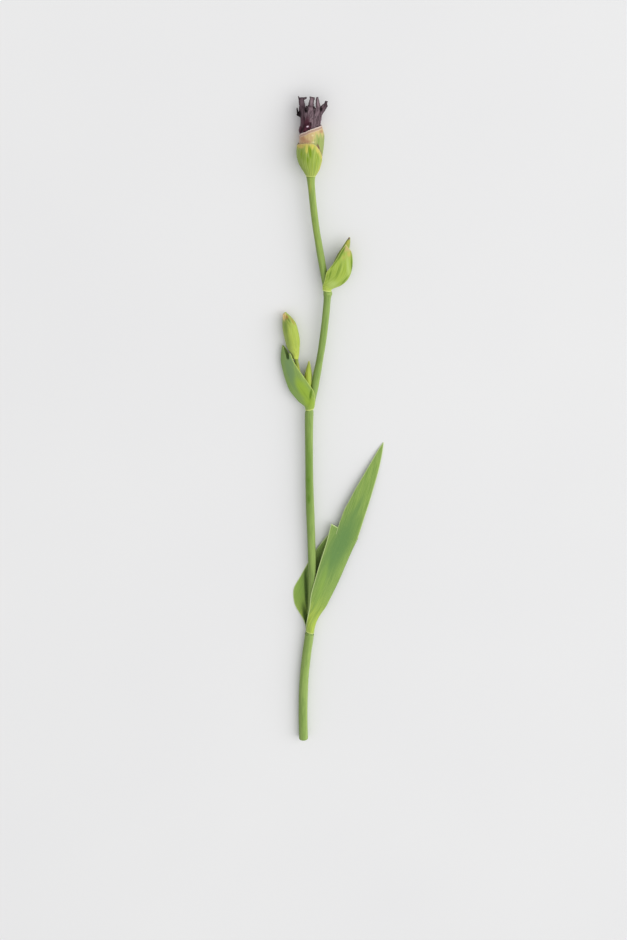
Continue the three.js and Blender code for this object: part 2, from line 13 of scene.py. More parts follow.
import bmesh
import bpy
import numpy as np
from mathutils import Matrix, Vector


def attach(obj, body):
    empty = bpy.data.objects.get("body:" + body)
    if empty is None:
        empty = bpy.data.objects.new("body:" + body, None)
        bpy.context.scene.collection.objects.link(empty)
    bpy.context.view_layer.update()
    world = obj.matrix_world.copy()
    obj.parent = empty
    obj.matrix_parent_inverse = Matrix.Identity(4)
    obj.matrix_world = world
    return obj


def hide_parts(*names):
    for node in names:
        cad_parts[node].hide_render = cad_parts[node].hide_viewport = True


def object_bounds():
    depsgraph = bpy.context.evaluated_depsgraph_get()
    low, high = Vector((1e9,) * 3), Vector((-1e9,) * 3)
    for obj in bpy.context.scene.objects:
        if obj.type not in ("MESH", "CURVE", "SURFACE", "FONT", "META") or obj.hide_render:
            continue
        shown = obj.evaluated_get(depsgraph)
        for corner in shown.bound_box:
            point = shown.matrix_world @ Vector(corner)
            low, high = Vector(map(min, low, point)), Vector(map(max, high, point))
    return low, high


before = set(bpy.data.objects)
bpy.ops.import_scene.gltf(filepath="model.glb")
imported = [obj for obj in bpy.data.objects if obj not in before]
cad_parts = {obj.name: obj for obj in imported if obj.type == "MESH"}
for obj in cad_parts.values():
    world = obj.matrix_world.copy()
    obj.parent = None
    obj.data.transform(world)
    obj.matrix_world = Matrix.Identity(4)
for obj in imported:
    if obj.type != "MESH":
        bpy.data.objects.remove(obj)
CAD_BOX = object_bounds()

LOG = logging.getLogger("iris_stem")

Array = np.ndarray
Rows = list[tuple[float, ...]]

MM = 0.001  # metres in a millimetre
LEAF_TIP_X = 78.0  # furthest point to the side, in the stem's own frame
CUT_CROWN = 0.113  # how far the cut face swells below the cut end
ORIGIN = np.array([LEAF_TIP_X - CAD_BOX[1][0] / MM, -CUT_CROWN - CAD_BOX[0][1] / MM, 0.0])
LAY = 5.2  # height of the stem's axis at the cut end
RISE = 0.0103  # climb of that axis for each millimetre up the stem
SNUG = 0.28  # from a round stem to the sheath that clasps it
GRAIN = "grain"  # attribute: where the tissue lay before it bent, in mm (across, through, up)
FORM = "form"  # attribute: mm from the free edge, mm from the base, left to right from -1 to 1
TINT = "tint"  # attribute: how far each of the three tints of a mark shows, from 0 to 1


class Side(Enum):
    """Which way a leaf or bract grows off the stem."""

    LEFT = -1
    RIGHT = 1


class Tint(Enum):
    """Which of a finish's three extra colours a mark shows."""

    DARK = 0
    WARM = 1
    PALE = 2


@dataclass(frozen=True)
class Mark:
    """A soft spot of one of the finish's extra colours, seen from above.

    Attributes:
        tint: Which colour it shows.
        x: Place across the stem, in mm.
        y: Place up the stem, in mm.
        wide: Half its width, in mm.
        tall: Half its length, in mm.
        lean: How far its length leans to the right, in degrees.
        strength: How much of the colour shows in its middle.
        sink: How far its middle is pressed in, in mm.
        above: Height over which it shows.
        below: Height under which it shows.
    """

    tint: Tint
    x: float
    y: float
    wide: float
    tall: float
    lean: float = 0.0
    strength: float = 1.0
    sink: float = 0.0
    above: float = -1.0
    below: float = 99.0

    def weight(self, points: Array) -> Array:
        """Gives how much of the mark shows at each point, from 0 to its strength."""
        turn = math.radians(self.lean)
        dx, dy = points[:, 0] - self.x, points[:, 1] - self.y
        across = (dx * math.cos(turn) - dy * math.sin(turn)) / self.wide
        length = (dx * math.sin(turn) + dy * math.cos(turn)) / self.tall
        near = 1 - ease(0.15, 1.25, np.hypot(across, length))
        z = points[:, 2]
        within = ease(self.above, self.above + 1, z) * ease(-self.below, 1 - self.below, -z)
        return self.strength * near * within


# ---------------------------------------------------------------- curves and numbers


def along(rows: Rows, t: Array) -> Array:
    """Follows a Catmull-Rom curve through rows of numbers.

    Args:
        rows: The rows that the curve passes through.
        t: Places on it, 0 at the first row and 1 at the last.

    Returns:
        One row of numbers for each place, on a new last axis.
    """
    table = np.asarray(rows, float)
    place = np.clip(np.asarray(t, float), 0, 1) * (len(table) - 1)
    i = np.minimum(place.astype(int), len(table) - 2)
    f = (place - i)[..., None]
    ends = np.vstack([2 * table[0] - table[1], table, 2 * table[-1] - table[-2]])
    a, b, c, d = (ends[i + k] for k in range(4))
    return b + 0.5 * f * (c - a + f * (2 * a - 5 * b + 4 * c - d + f * (3 * (b - c) + d - a)))


def mix(a: Array | float, b: Array | float, f: Array | float) -> Array:
    """Goes from a to b as f goes from 0 to 1."""
    return a + (b - a) * f


def ease(low: float, high: float, value: Array) -> Array:
    """Rises smoothly from 0 at low to 1 at high."""
    f = np.clip((value - low) / (high - low), 0, 1)
    return f * f * (3 - 2 * f)


def ripple(a: Array, b: Array, seed: float) -> Array:
    """Gives an uneven wave over two coordinates, between about -1 and 1.

    Args:
        a: First coordinate, in waves.
        b: Second coordinate, in waves.
        seed: Shifts the pattern, so that two pieces differ.

    Returns:
        The height of the wave at each place.
    """
    total = np.zeros(np.broadcast(a, b).shape)
    for k, (fa, fb) in enumerate(((1.0, 0.63), (1.83, -1.21), (0.47, 2.3), (3.1, 1.7))):
        total = total + np.sin(6.283 * (fa * a + fb * b) + seed * (k + 1.7)) / (k + 1.5)
    return total / 1.4


def grid(across: int, up: int) -> tuple[Array, Array]:
    """Gives the two coordinates of a grid, each from 0 to 1: across the rows, and up them."""
    return np.meshgrid(np.linspace(0, 1, across + 1), np.linspace(0, 1, up + 1))


# ---------------------------------------------------------------- skins


@dataclass
class Patch:
    """One closed skin.

    Attributes:
        points: Its vertices, in mm.
        faces: Its faces, as vertex numbers.
        grain: Where each vertex's tissue lay before it bent, in mm.
        form: For each vertex, mm from the free edge, mm from the base, and left to right.
    """

    points: Array
    faces: list[tuple[int, ...]]
    grain: Array
    form: Array


def sheet(
    middle: Array, thickness: Array, grain: Array, form: Array, keep: Array | None = None
) -> Patch:
    """Thickens a grid of points into a closed sheet.

    Args:
        middle: Points halfway through the sheet, row by row.
        thickness: Thickness at each point, in mm.
        grain: Grain of each point.
        form: Form of each point.
        keep: Which cells of the grid are there; all of them if left out.

    Returns:
        The sheet, with a strip of faces round each free edge.
    """
    up, across = middle.shape[:2]
    du = np.gradient(middle, axis=1)
    dv = np.gradient(middle, axis=0)
    normal = np.cross(du, dv)
    normal /= np.maximum(np.linalg.norm(normal, axis=2, keepdims=True), 1e-9)
    half = normal * thickness[..., None] / 2
    points = np.concatenate([(middle + half).reshape(-1, 3), (middle - half).reshape(-1, 3)])
    number = np.arange(up * across).reshape(up, across)
    there = np.ones((up - 1, across - 1), bool) if keep is None else keep
    a, b = number[:-1, :-1][there], number[:-1, 1:][there]
    c, d = number[1:, 1:][there], number[1:, :-1][there]
    quads = np.stack([a, b, c, d], 1)
    seen: dict[tuple[int, int], tuple[int, int]] = {}
    for quad in quads.tolist():
        for p, q in zip(quad, quad[1:] + quad[:1]):
            key = (min(p, q), max(p, q))
            if key in seen:
                del seen[key]
            else:
                seen[key] = (p, q)
    behind = up * across
    faces = [tuple(quad) for quad in quads.tolist()]
    faces += [tuple(p + behind for p in reversed(quad)) for quad in quads.tolist()]
    faces += [(q, p, p + behind, q + behind) for p, q in seen.values()]
    both = [np.concatenate([part.reshape(-1, 3)] * 2) for part in (grain, form)]
    return Patch(points, faces, both[0], both[1])


def tube(rings: Array, grain: Array, form: Array) -> Patch:
    """Joins closed rings of points into a tube with a cap on each end.

    Args:
        rings: Points, ring by ring.
        grain: Grain of each point.
        form: Form of each point.

    Returns:
        The closed tube.
    """
    count, sides = rings.shape[:2]
    number = np.arange(count * sides).reshape(count, sides)
    beside = np.roll(number, -1, axis=1)
    quads = np.stack([number[:-1], beside[:-1], beside[1:], number[1:]], 2).reshape(-1, 4)
    faces = [tuple(quad) for quad in quads.tolist()]
    faces += [tuple(number[0][::-1].tolist()), tuple(number[-1].tolist())]
    return Patch(rings.reshape(-1, 3), faces, grain.reshape(-1, 3), form.reshape(-1, 3))


def spindle_rings(rows: Rows, t: Array, angle: Array, grow: Array | float = 0.0) -> Array:
    """Gives points on ellipses about a spine, square to it as seen from above.

    Args:
        rows: The spine: x, y, z, half width, half depth.
        t: Place along the spine of each point.
        angle: Angle of each point round the spine, in radians.
        grow: How far each point is pushed out, in mm.

    Returns:
        The points.
    """
    row = along(rows, t)
    heading = (along(rows, np.add(t, 0.01)) - along(rows, np.add(t, -0.01)))[..., :2]
    heading /= np.maximum(np.linalg.norm(heading, axis=-1, keepdims=True), 1e-9)
    reach = (row[..., 3] + grow) * np.cos(angle)
    lift = (row[..., 4] + grow) * np.sin(angle)
    return np.stack(
        [
            row[..., 0] + heading[..., 1] * reach,
            row[..., 1] - heading[..., 0] * reach,
            row[..., 2] + lift,
        ],
        -1,
    )


def spindle(rows: Rows, sides: int, steps: int, ridge: float = 0.0, ridges: int = 0) -> Patch:
    """Builds a closed spindle about a spine.

    Args:
        rows: The spine: x, y, z, half width, half depth.
        sides: Points round each ring.
        steps: Rings along the spine.
        ridge: Height of the soft lengthwise ridges, in mm.
        ridges: How many there are.

    Returns:
        The spindle, with its ends drawn in.
    """
    turn = np.linspace(0, 2 * math.pi, sides, endpoint=False)
    t, angle = np.meshgrid(np.linspace(0, 1, steps + 1), turn, indexing="ij")
    wave = ridge * np.sin(ridges * angle + 2.2 * t) * np.sin(math.pi * t) if ridges else 0.0
    rings = spindle_rings(rows, t, angle, wave)
    spine = along(rows, t)
    length = float(np.linalg.norm(np.subtract(rows[-1][:3], rows[0][:3])))
    grain = np.stack([spine[..., 3] * np.cos(angle), spine[..., 4] * np.sin(angle), t * length], -1)
    form = np.stack([(1 - t) * length, t * length, np.cos(angle)], -1)
    first = rings[:1].mean(1, keepdims=True)
    last = rings[-1:].mean(1, keepdims=True)
    tip = last + 0.6 * (last - rings[-2:-1].mean(1, keepdims=True))
    close = [mix(rings[-1:], tip, 0.45), mix(rings[-1:], tip, 0.85)]
    all_rings = np.concatenate([mix(rings[:1], first, 0.6), rings, *close])
    repeat = [0] + list(range(steps + 1)) + [steps, steps]
    return tube(all_rings, grain[repeat], form[repeat])


# ---------------------------------------------------------------- materials


def linear(code: str) -> tuple[float, float, float, float]:
    """Turns an sRGB hex colour to linear, with full alpha.

    Args:
        code: Six hex digits, with or without a leading hash.

    Returns:
        Red, green, blue and alpha.
    """
    digits = code.lstrip("#")
    shares = [int(digits[i : i + 2], 16) / 255 for i in (0, 2, 4)]
    red, green, blue = (s / 12.92 if s <= 0.04045 else ((s + 0.055) / 1.055) ** 2.4 for s in shares)
    return red, green, blue, 1.0


Value = float | tuple[float, ...] | bpy.types.NodeSocket
Span = tuple[bpy.types.NodeSocket, float, float]
Size = tuple[float, float]  # width and length of a streak, in mm


def add(
    tree: bpy.types.NodeTree,
    kind: str,
    inputs: dict[str | int, Value],
    out: str | int = 0,
    **settings: object,
) -> bpy.types.NodeSocket:
    """Adds one node to a material, with its settings and links.

    Args:
        tree: The material's node tree.
        kind: The node's type, without the ShaderNode in front.
        inputs: For each input, by name or number, its value or the socket that feeds it.
        out: Which of the node's outputs is wanted.
        **settings: The node's own properties.

    Returns:
        That output.
    """
    node = tree.nodes.new(f"ShaderNode{kind}")
    for key, value in settings.items():
        setattr(node, key, value)
    for key, value in inputs.items():
        if isinstance(value, bpy.types.NodeSocket):
            tree.links.new(value, node.inputs[key])
        else:
            node.inputs[key].default_value = value
    return node.outputs[out]


@dataclass
class Canvas:
    """A material in the making: its colour so far, and the measures that patterns are drawn in.

    Attributes:
        name: The material's name.
        ground: The colour under all others, as sRGB hex.
        material: The material.
        tree: Its nodes.
        shader: Its one surface shader.
        colour: The colour that all laid so far adds up to.
        grain: Where the tissue lay before it bent, in mm.
        across: Its part across the tissue.
        edge: Distance from the free edge, in mm.
        base: Distance from the base, in mm.
        side: From -1 on the left to 1 on the right.
        shares: How far each of the three tints of a mark shows.
    """

    name: str
    ground: str
    material: bpy.types.Material = field(init=False)
    tree: bpy.types.NodeTree = field(init=False)
    shader: bpy.types.Node = field(init=False)
    colour: Value = field(init=False)
    grain: bpy.types.NodeSocket = field(init=False)
    across: bpy.types.NodeSocket = field(init=False)
    edge: bpy.types.NodeSocket = field(init=False)
    base: bpy.types.NodeSocket = field(init=False)
    side: bpy.types.NodeSocket = field(init=False)
    shares: list[bpy.types.NodeSocket] = field(init=False)

    def __post_init__(self) -> None:
        """Makes the material and reads the three attributes."""
        self.material = bpy.data.materials.new(self.name)
        self.material.use_nodes = True
        self.tree = self.material.node_tree
        self.shader = self.tree.nodes["Principled BSDF"]
        self.colour = linear(self.ground)
        vectors = [
            add(self.tree, "Attribute", {}, "Vector", attribute_name=key) for key in (GRAIN, FORM, TINT)
        ]
        grain, form, tint = (add(self.tree, "SeparateXYZ", {0: vector}).node for vector in vectors)
        self.grain = vectors[0]
        self.across = grain.outputs[0]
        self.edge, self.base, self.side = form.outputs
        self.shares = list(tint.outputs)

    def streaks(self, across_mm: float, up_mm: float, detail: float = 3.0) -> bpy.types.NodeSocket:
        """Gives uneven streaks that run up the tissue.

        Args:
            across_mm: Typical width of a streak.
            up_mm: Typical length of a streak.
            detail: How many finer layers it has.

        Returns:
            A value from 0 to 1.
        """
        size = (1 / across_mm, 1 / across_mm, 1 / up_mm)
        place = add(self.tree, "VectorMath", {0: self.grain, 1: size}, operation="MULTIPLY")
        look = {"Vector": place, "Scale": 1.0, "Detail": detail, "Roughness": 0.55}
        noise = add(self.tree, "TexNoise", look, "Fac")
        span = {"Value": noise, "From Min": 0.3, "From Max": 0.7}
        return add(self.tree, "MapRange", span, interpolation_type="SMOOTHSTEP")

    def frayed(
        self, measure: bpy.types.NodeSocket, by_mm: float, across_mm: float, up_mm: float
    ) -> bpy.types.NodeSocket:
        """Makes a measure uneven, so that what follows it has a ragged edge.

        Args:
            measure: The measure, in mm.
            by_mm: How far it is moved either way.
            across_mm: Typical width of a tooth of the ragged edge.
            up_mm: Typical length of a tooth.

        Returns:
            The uneven measure.
        """
        teeth = {"Value": self.streaks(across_mm, up_mm), "To Min": -by_mm, "To Max": by_mm}
        shift = add(self.tree, "MapRange", teeth)
        return add(self.tree, "Math", {0: measure, 1: shift}, operation="ADD")

    def veins(self, spacing_mm: float) -> bpy.types.NodeSocket:
        """Gives parallel veins that wander a little.

        Args:
            spacing_mm: From one vein to the next.

        Returns:
            A value from -1 between two veins to 1 on a vein.
        """
        count = add(self.tree, "Math", {0: self.across, 1: spacing_mm}, operation="DIVIDE")
        strayed = add(self.tree, "Math", {0: count, 1: self.streaks(5.0, 30, 1.0)}, operation="ADD")
        turn = add(self.tree, "Math", {0: strayed, 1: 2 * math.pi}, operation="MULTIPLY")
        return add(self.tree, "Math", {0: turn}, operation="SINE")

    def lay(self, code: str, strength: float, *spans: Span) -> Value:
        """Lays a colour over what is there.

        Args:
            code: The colour, as sRGB hex.
            strength: How much of it shows where it shows fully.
            *spans: Values that it follows, each with where it begins to show and where it is full.

        Returns:
            How much of it shows.
        """
        shown: Value = strength
        for value, begins, full in spans:
            span = {"Value": value, "From Min": begins, "From Max": full}
            part = add(self.tree, "MapRange", span, interpolation_type="SMOOTHSTEP")
            shown = add(self.tree, "Math", {0: part, 1: shown}, operation="MULTIPLY")
        parts = {0: shown, 6: self.colour, 7: linear(code)}
        self.colour = add(self.tree, "Mix", parts, 2, data_type="RGBA")
        return shown

    def lay_marks(self, tints: tuple[str, str, str]) -> None:
        """Lays the pale, the warm and then the dark marks, a little streaked along the grain."""
        worn = self.streaks(0.9, 4.0)
        for tint in reversed(Tint):
            self.lay(tints[tint.value], 1.0, (self.shares[tint.value], 0.0, 0.9), (worn, -1.3, 0.6))

    def finish(
        self, roughness: Value, relief: Value, depth_mm: float, specular: float
    ) -> bpy.types.Material:
        """Joins the colour and the surface to the shader.

        The shader's own IOR of 1.5 is left as it is, because leaf wax is close to it.

        Args:
            roughness: Roughness.
            relief: Height of the relief, from 0 to 1.
            depth_mm: How deep the relief is.
            specular: How strong the surface's own reflection is, 0.5 for plain glass or water.

        Returns:
            The material.
        """
        relief_node = {"Height": relief, "Distance": depth_mm * MM, "Strength": 1.0}
        bump = add(self.tree, "Bump", relief_node)
        surface = {"Roughness": roughness, "Normal": bump, "Base Color": self.colour}
        for key, value in surface.items():
            if isinstance(value, bpy.types.NodeSocket):
                self.tree.links.new(value, self.shader.inputs[key])
            else:
                self.shader.inputs[key].default_value = value
        self.shader.inputs["Specular IOR Level"].default_value = specular
        return self.material


@dataclass(frozen=True)
class StemSkin:
    """Living stem epidermis with a thin wax bloom, grown in one length.

    The wax greys the green toward the cut end; under the flower the skin is thin and yellower.
    """

    name: str = "living_stem_skin_wax_bloomed"
    low: str = "#8ba750"
    middle: str = "#829f4b"
    high: str = "#93aa47"
    dark: str = "#64823a"
    # light: the pale fibres, and also painted light on the stem's right side, toward the key light
    light: str = "#a9bf70"
    shaded: str = "#66783c"
    pith: str = "#d3dbae"
    rind: str = "#9db36a"
    tints: tuple[str, str, str] = ("#5c8220", "#a6ac42", "#c3d27c")
    blotch_mm: Size = (3.0, 42)  # slow shifts of green, about a third of the stem's width
    fleck_mm: Size = (3.5, 11)
    fibre_mm: Size = (0.7, 25)  # real fibres are 0.1 mm; drawn as coarse as the eye can find them
    relief_mm: float = 0.06

    def build(self) -> bpy.types.Material:
        """Makes the material: a length of green that shifts, blotches, fibres, marks and the cut."""
        c = Canvas(self.name, self.low)
        c.lay(self.middle, 1.0, (c.base, 120, 300))
        c.lay(self.high, 1.0, (c.base, 540, 660))
        broad = c.streaks(*self.blotch_mm)
        c.lay(self.dark, 0.5, (broad, 0, 1))
        c.lay(self.dark, 0.3, (c.streaks(*self.fleck_mm), 0.45, 1))
        fibres = c.streaks(*self.fibre_mm)
        c.lay(self.light, 0.32, (fibres, 0, 1))
        # painted shade on the left side, away from the key light, and painted light on the right side
        c.lay(self.shaded, 0.45, (c.side, 0.0, -0.95))
        c.lay(self.light, 0.35, (c.side, 0.3, 0.95))
        c.lay_marks(self.tints)
        on_cut = ((c.edge, 0.985, 0.97), (c.base, 1.0, 0.5))
        c.lay(self.pith, 1.0, *on_cut)
        c.lay(self.rind, 1.0, (c.edge, 0.55, 0.95), *on_cut)
        rough = add(c.tree, "MapRange", {"Value": broad, "To Min": 0.48, "To Max": 0.6})
        return c.finish(rough, fibres, self.relief_mm, 0.3)


@dataclass(frozen=True)
class LeafSkin:
    """Living leaf or bract tissue with parallel veins, grown folded and opened by its own growth.

    Its colour shifts from the bright young base to the older, waxier blade, its margins are
    pale and thin, and it dries to yellow and then to tan paper where it is thinnest.
    """

    name: str
    base: str
    blade: str
    tip: str
    base_mm: tuple[float, float]
    tip_mm: tuple[float, float]
    shade: str  # the darker, waxier green in broad streaks
    left: str  # tint of the side away from the light
    tints: tuple[str, str, str]
    # right: painted light on the side toward the light
    right: str = "#b4c86a"
    margin: str = "#c3d07f"
    margin_mm: float = 1.0
    ring: str = "#d3df84"  # the pale scar line where it sits on the stem
    ring_mm: float = 1.6
    left_strength: float = 0.5
    right_strength: float = 0.3
    shade_strength: float = 0.5
    shade_mm: Size = (3.2, 32)
    vein_mm: float = 1.3  # real veins are about 1 mm apart; a little wider, so that they show
    fine_mm: Size = (0.8, 22)  # the cell rows between the veins, drawn coarser for the same reason
    vein_light: str = "#b4c877"
    vein_strength: float = 0.16
    paper: str = "#c1b47a"
    paper_mm: float = 0.0  # width of the band by the free edge that has dried to paper
    paper_from: tuple[float, float] = (0.0, 0.1)  # and how far up it begins
    paper_blush: str = "#b98f6f"
    blush_side: tuple[float, float] = (9.0, 1.0)  # where across it the blush begins and is full
    fray_mm: tuple[float, float, float] = (2.0, 2.2, 9)  # depth, width and length of its teeth
    blush_mm: Size = (2.4, 4)  # patches where the paper has browned
    relief_mm: float = 0.06

    def build(self) -> bpy.types.Material:
        """Makes the material: base to tip colours, streaks, veins, pale margin, marks, dry paper."""
        c = Canvas(self.name, self.base)
        c.lay(self.blade, 1.0, (c.base, *self.base_mm))
        c.lay(self.tip, 1.0, (c.base, *self.tip_mm))
        broad = c.streaks(*self.shade_mm)
        c.lay(self.shade, self.shade_strength, (broad, 0, 1))
        # painted shade on the side away from the key light, and painted light on the side toward it
        c.lay(self.left, self.left_strength, (c.side, 0.1, -0.95))
        c.lay(self.right, self.right_strength, (c.side, 0.3, 1.0))
        vein = c.veins(self.vein_mm)
        fine = c.streaks(*self.fine_mm)
        c.lay(self.vein_light, self.vein_strength, (vein, -0.2, 1))
        c.lay(self.vein_light, self.vein_strength, (fine, 0, 1))
        c.lay(self.shade, 1.2 * self.vein_strength, (fine, 0.55, 0.05))
        rough = add(c.tree, "MapRange", {"Value": broad, "To Min": 0.47, "To Max": 0.58})
        if self.paper_mm:
            edge = c.frayed(c.edge, *self.fray_mm)
            high = (c.base, *self.paper_from)
            dry = c.lay(self.paper, 0.9, (edge, self.paper_mm, 0.4 * self.paper_mm), high)
            deep = (edge, 0.8 * self.paper_mm, 0.2 * self.paper_mm)
            patchy = (c.streaks(*self.blush_mm), 0.1, 0.8)
            c.lay(self.paper_blush, 0.85, deep, high, patchy, (c.side, *self.blush_side))
            rough = add(c.tree, "MapRange", {"Value": dry, "To Min": 0.52, "To Max": 0.8})
        c.lay_marks(self.tints)
        c.lay(self.margin, 0.85, (c.edge, self.margin_mm, 0.3 * self.margin_mm))
        c.lay(self.ring, 0.85, (c.base, self.ring_mm, 0.35 * self.ring_mm))
        relief = add(c.tree, "Math", {0: vein, 1: fine}, operation="ADD")
        return c.finish(rough, relief, self.relief_mm, 0.22)


@dataclass(frozen=True)
class DriedValveSkin:
    """The inner spathe valve, which is green where it is thick and has dried to tan paper.

    Toward its rim it goes from green through yellow and tan to a pinkish brown, and the very
    edge is a translucent, almost white line with a fainter one beneath it.
    """

    name: str = "spathe_valve_dried_to_paper"
    green: str = "#84994a"
    bright: str = "#95aa55"
    yellow: str = "#c9bb70"
    tan: str = "#cdb07c"
    blush: str = "#b08468"
    edge_line: str = "#dccabf"
    under_line: str = "#a88880"
    left_green: str = "#84954e"
    fibre: str = "#ded2a0"
    tints: tuple[str, str, str] = ("#7c5a45", "#b08464", "#dccf9d")
    paper_left_mm: float = 17.0  # depth of the dry band on the side away from the light
    paper_right_mm: float = 6.5
    fibre_mm: Size = (0.8, 16)  # real fibres are 0.2 mm; drawn as coarse as they need to show
    band_mm: Size = (2.6, 18)
    blush_mm: Size = (2.2, 5)
    fray_mm: tuple[float, float, float] = (3.5, 1.6, 12)  # depth, width and length of its teeth
    relief_mm: float = 0.08

    def build(self) -> bpy.types.Material:
        """Makes the material: green body, yellowing, tan band with a blush, and the pale rim."""
        c = Canvas(self.name, self.green)
        fine = c.streaks(*self.fibre_mm)
        broad = c.streaks(*self.band_mm)
        c.lay(self.bright, 0.7, (broad, 0, 1))
        c.lay(self.left_green, 0.6, (c.side, 0.0, -0.9))
        depth = {"Value": c.side, "From Min": -0.6, "From Max": 0.6}
        depth |= {"To Min": self.paper_left_mm, "To Max": self.paper_right_mm}
        band = add(c.tree, "MapRange", depth, interpolation_type="SMOOTHSTEP")
        edge = c.frayed(c.edge, *self.fray_mm)
        share = add(c.tree, "Math", {0: edge, 1: band}, operation="DIVIDE")
        c.lay(self.yellow, 0.85, (share, 1.9, 0.8))
        c.lay(self.tan, 0.95, (share, 1.3, 0.5))
        patchy = (c.streaks(*self.blush_mm), -0.2, 0.9)
        c.lay(self.blush, 0.85, (share, 1.2, 0.6), (c.side, 0.3, -0.6), patchy)
        c.lay(self.fibre, 0.24, (fine, 0, 1))
        c.lay_marks(self.tints)
        c.lay(self.under_line, 0.75, (c.edge, 3.6, 2.4))
        c.lay(self.edge_line, 0.4, (c.edge, 3.7, 3.2), (c.edge, 2.7, 3.1))
        c.lay(self.edge_line, 0.95, (c.edge, 1.2, 0.6))
        matt = {"Value": share, "From Max": 1.2, "To Min": 0.78, "To Max": 0.55}
        rough = add(c.tree, "MapRange", matt)
        relief = add(c.tree, "Math", {0: fine, 1: broad}, operation="ADD")
        return c.finish(rough, relief, self.relief_mm, 0.25)


@dataclass(frozen=True)
class DryPetal:
    """Petal tissue that has shrivelled to a dark, slightly velvety skin.

    Its folds are near black with painted shade; it is dusty mauve brown on the crests, and
    wine red where it is still moist.
    """

    name: str = "shrivelled_petal_velvet"
    crest: str = "#836f76"
    body: str = "#634f56"
    # fold: painted shade of the creases
    fold: str = "#2f2227"
    left: str = "#55434b"
    rim: str = "#231a1e"
    dust: str = "#928087"
    # dark: painted shade for recesses; warm: wine red of moist tissue; pale: painted glints
    tints: tuple[str, str, str] = ("#0d0508", "#542f3b", "#978289")
    pleat_mm: Size = (1.9, 11)
    crease_mm: Size = (1.1, 5)
    dust_mm: Size = (0.9, 1.6)  # the skin's dry flecks are finer; drawn as coarse as they need to show
    relief_mm: float = 0.25
    sheen: float = 0.08
    sheen_tint: str = "#b58d9c"

    def build(self) -> bpy.types.Material:
        """Makes the material: wrinkles, dusty crests, darker left and torn rim, and the marks."""
        c = Canvas(self.name, self.body)
        pleats = c.streaks(*self.pleat_mm)
        creases = c.streaks(*self.crease_mm, 5.0)
        c.lay(self.crest, 1.0, (pleats, 0, 1))
        # painted shade: the creases, which are only a bump, are darkened as if in shade
        c.lay(self.fold, 0.7, (creases, 0.55, 1))
        c.lay(self.dust, 0.45, (c.streaks(*self.dust_mm), 0.6, 1))
        c.lay(self.left, 0.8, (c.side, -0.1, -0.8))
        c.lay(self.rim, 0.75, (c.edge, 1.3, 0.3))
        c.lay_marks(self.tints)
        relief = add(c.tree, "Math", {0: pleats, 1: creases}, operation="ADD")
        c.shader.inputs["Sheen Weight"].default_value = self.sheen
        c.shader.inputs["Sheen Roughness"].default_value = 0.5
        c.shader.inputs["Sheen Tint"].default_value = linear(self.sheen_tint)
        return c.finish(0.78, relief, self.relief_mm, 0.12)


@dataclass(frozen=True)
class MoistPetal:
    """A curled fold of petal that is still moist, wine red; its wet glint is a painted highlight."""

    name: str = "moist_petal_wine_red"
    body: str = "#451c2b"
    shade: str = "#2d111b"
    # dark: painted shade in its recesses; warm: its wine red; pale: the painted wet glint
    tints: tuple[str, str, str] = ("#1a070d", "#4f2635", "#e2cbd8")
    wrinkle_mm: Size = (1.2, 5)
    relief_mm: float = 0.12
    wet_coat: float = 0.06

    def build(self) -> bpy.types.Material:
        """Makes the material: wine red with darker folds under a clear, wet coat."""
        c = Canvas(self.name, self.body)
        streak = c.streaks(*self.wrinkle_mm)
        c.lay(self.shade, 0.6, (streak, 0, 1))
        c.lay_marks(self.tints)
        c.shader.inputs["Coat Weight"].default_value = self.wet_coat
        c.shader.inputs["Coat Roughness"].default_value = 0.25
        return c.finish(0.45, streak, self.relief_mm, 0.1)


@dataclass(frozen=True)
class PaleFloor:
    """Matt painted board: an even, very light grey with a trace of roller texture."""

    name: str = "matt_painted_board"
    colour: str = "#e8e8e8"
    mottle: str = "#e3e3e4"
    patches_a_metre: float = 3.0

    def build(self) -> bpy.types.Material:
        """Makes the material: two greys that can hardly be told apart, in slow patches."""
        material = bpy.data.materials.new(self.name)
        material.use_nodes = True
        tree = material.node_tree
        shader = tree.nodes["Principled BSDF"]
        place = add(tree, "TexCoord", {}, "Object")
        slow = {"Vector": place, "Scale": self.patches_a_metre, "Detail": 2.0}
        patches = add(tree, "TexNoise", slow, "Fac")
        greys = {0: patches, 6: linear(self.colour), 7: linear(self.mottle)}
        tree.links.new(add(tree, "Mix", greys, 2, data_type="RGBA"), shader.inputs["Base Color"])
        shader.inputs["Roughness"].default_value = 0.9
        shader.inputs["Specular IOR Level"].default_value = 0.2
        return material


# ---------------------------------------------------------------- pieces


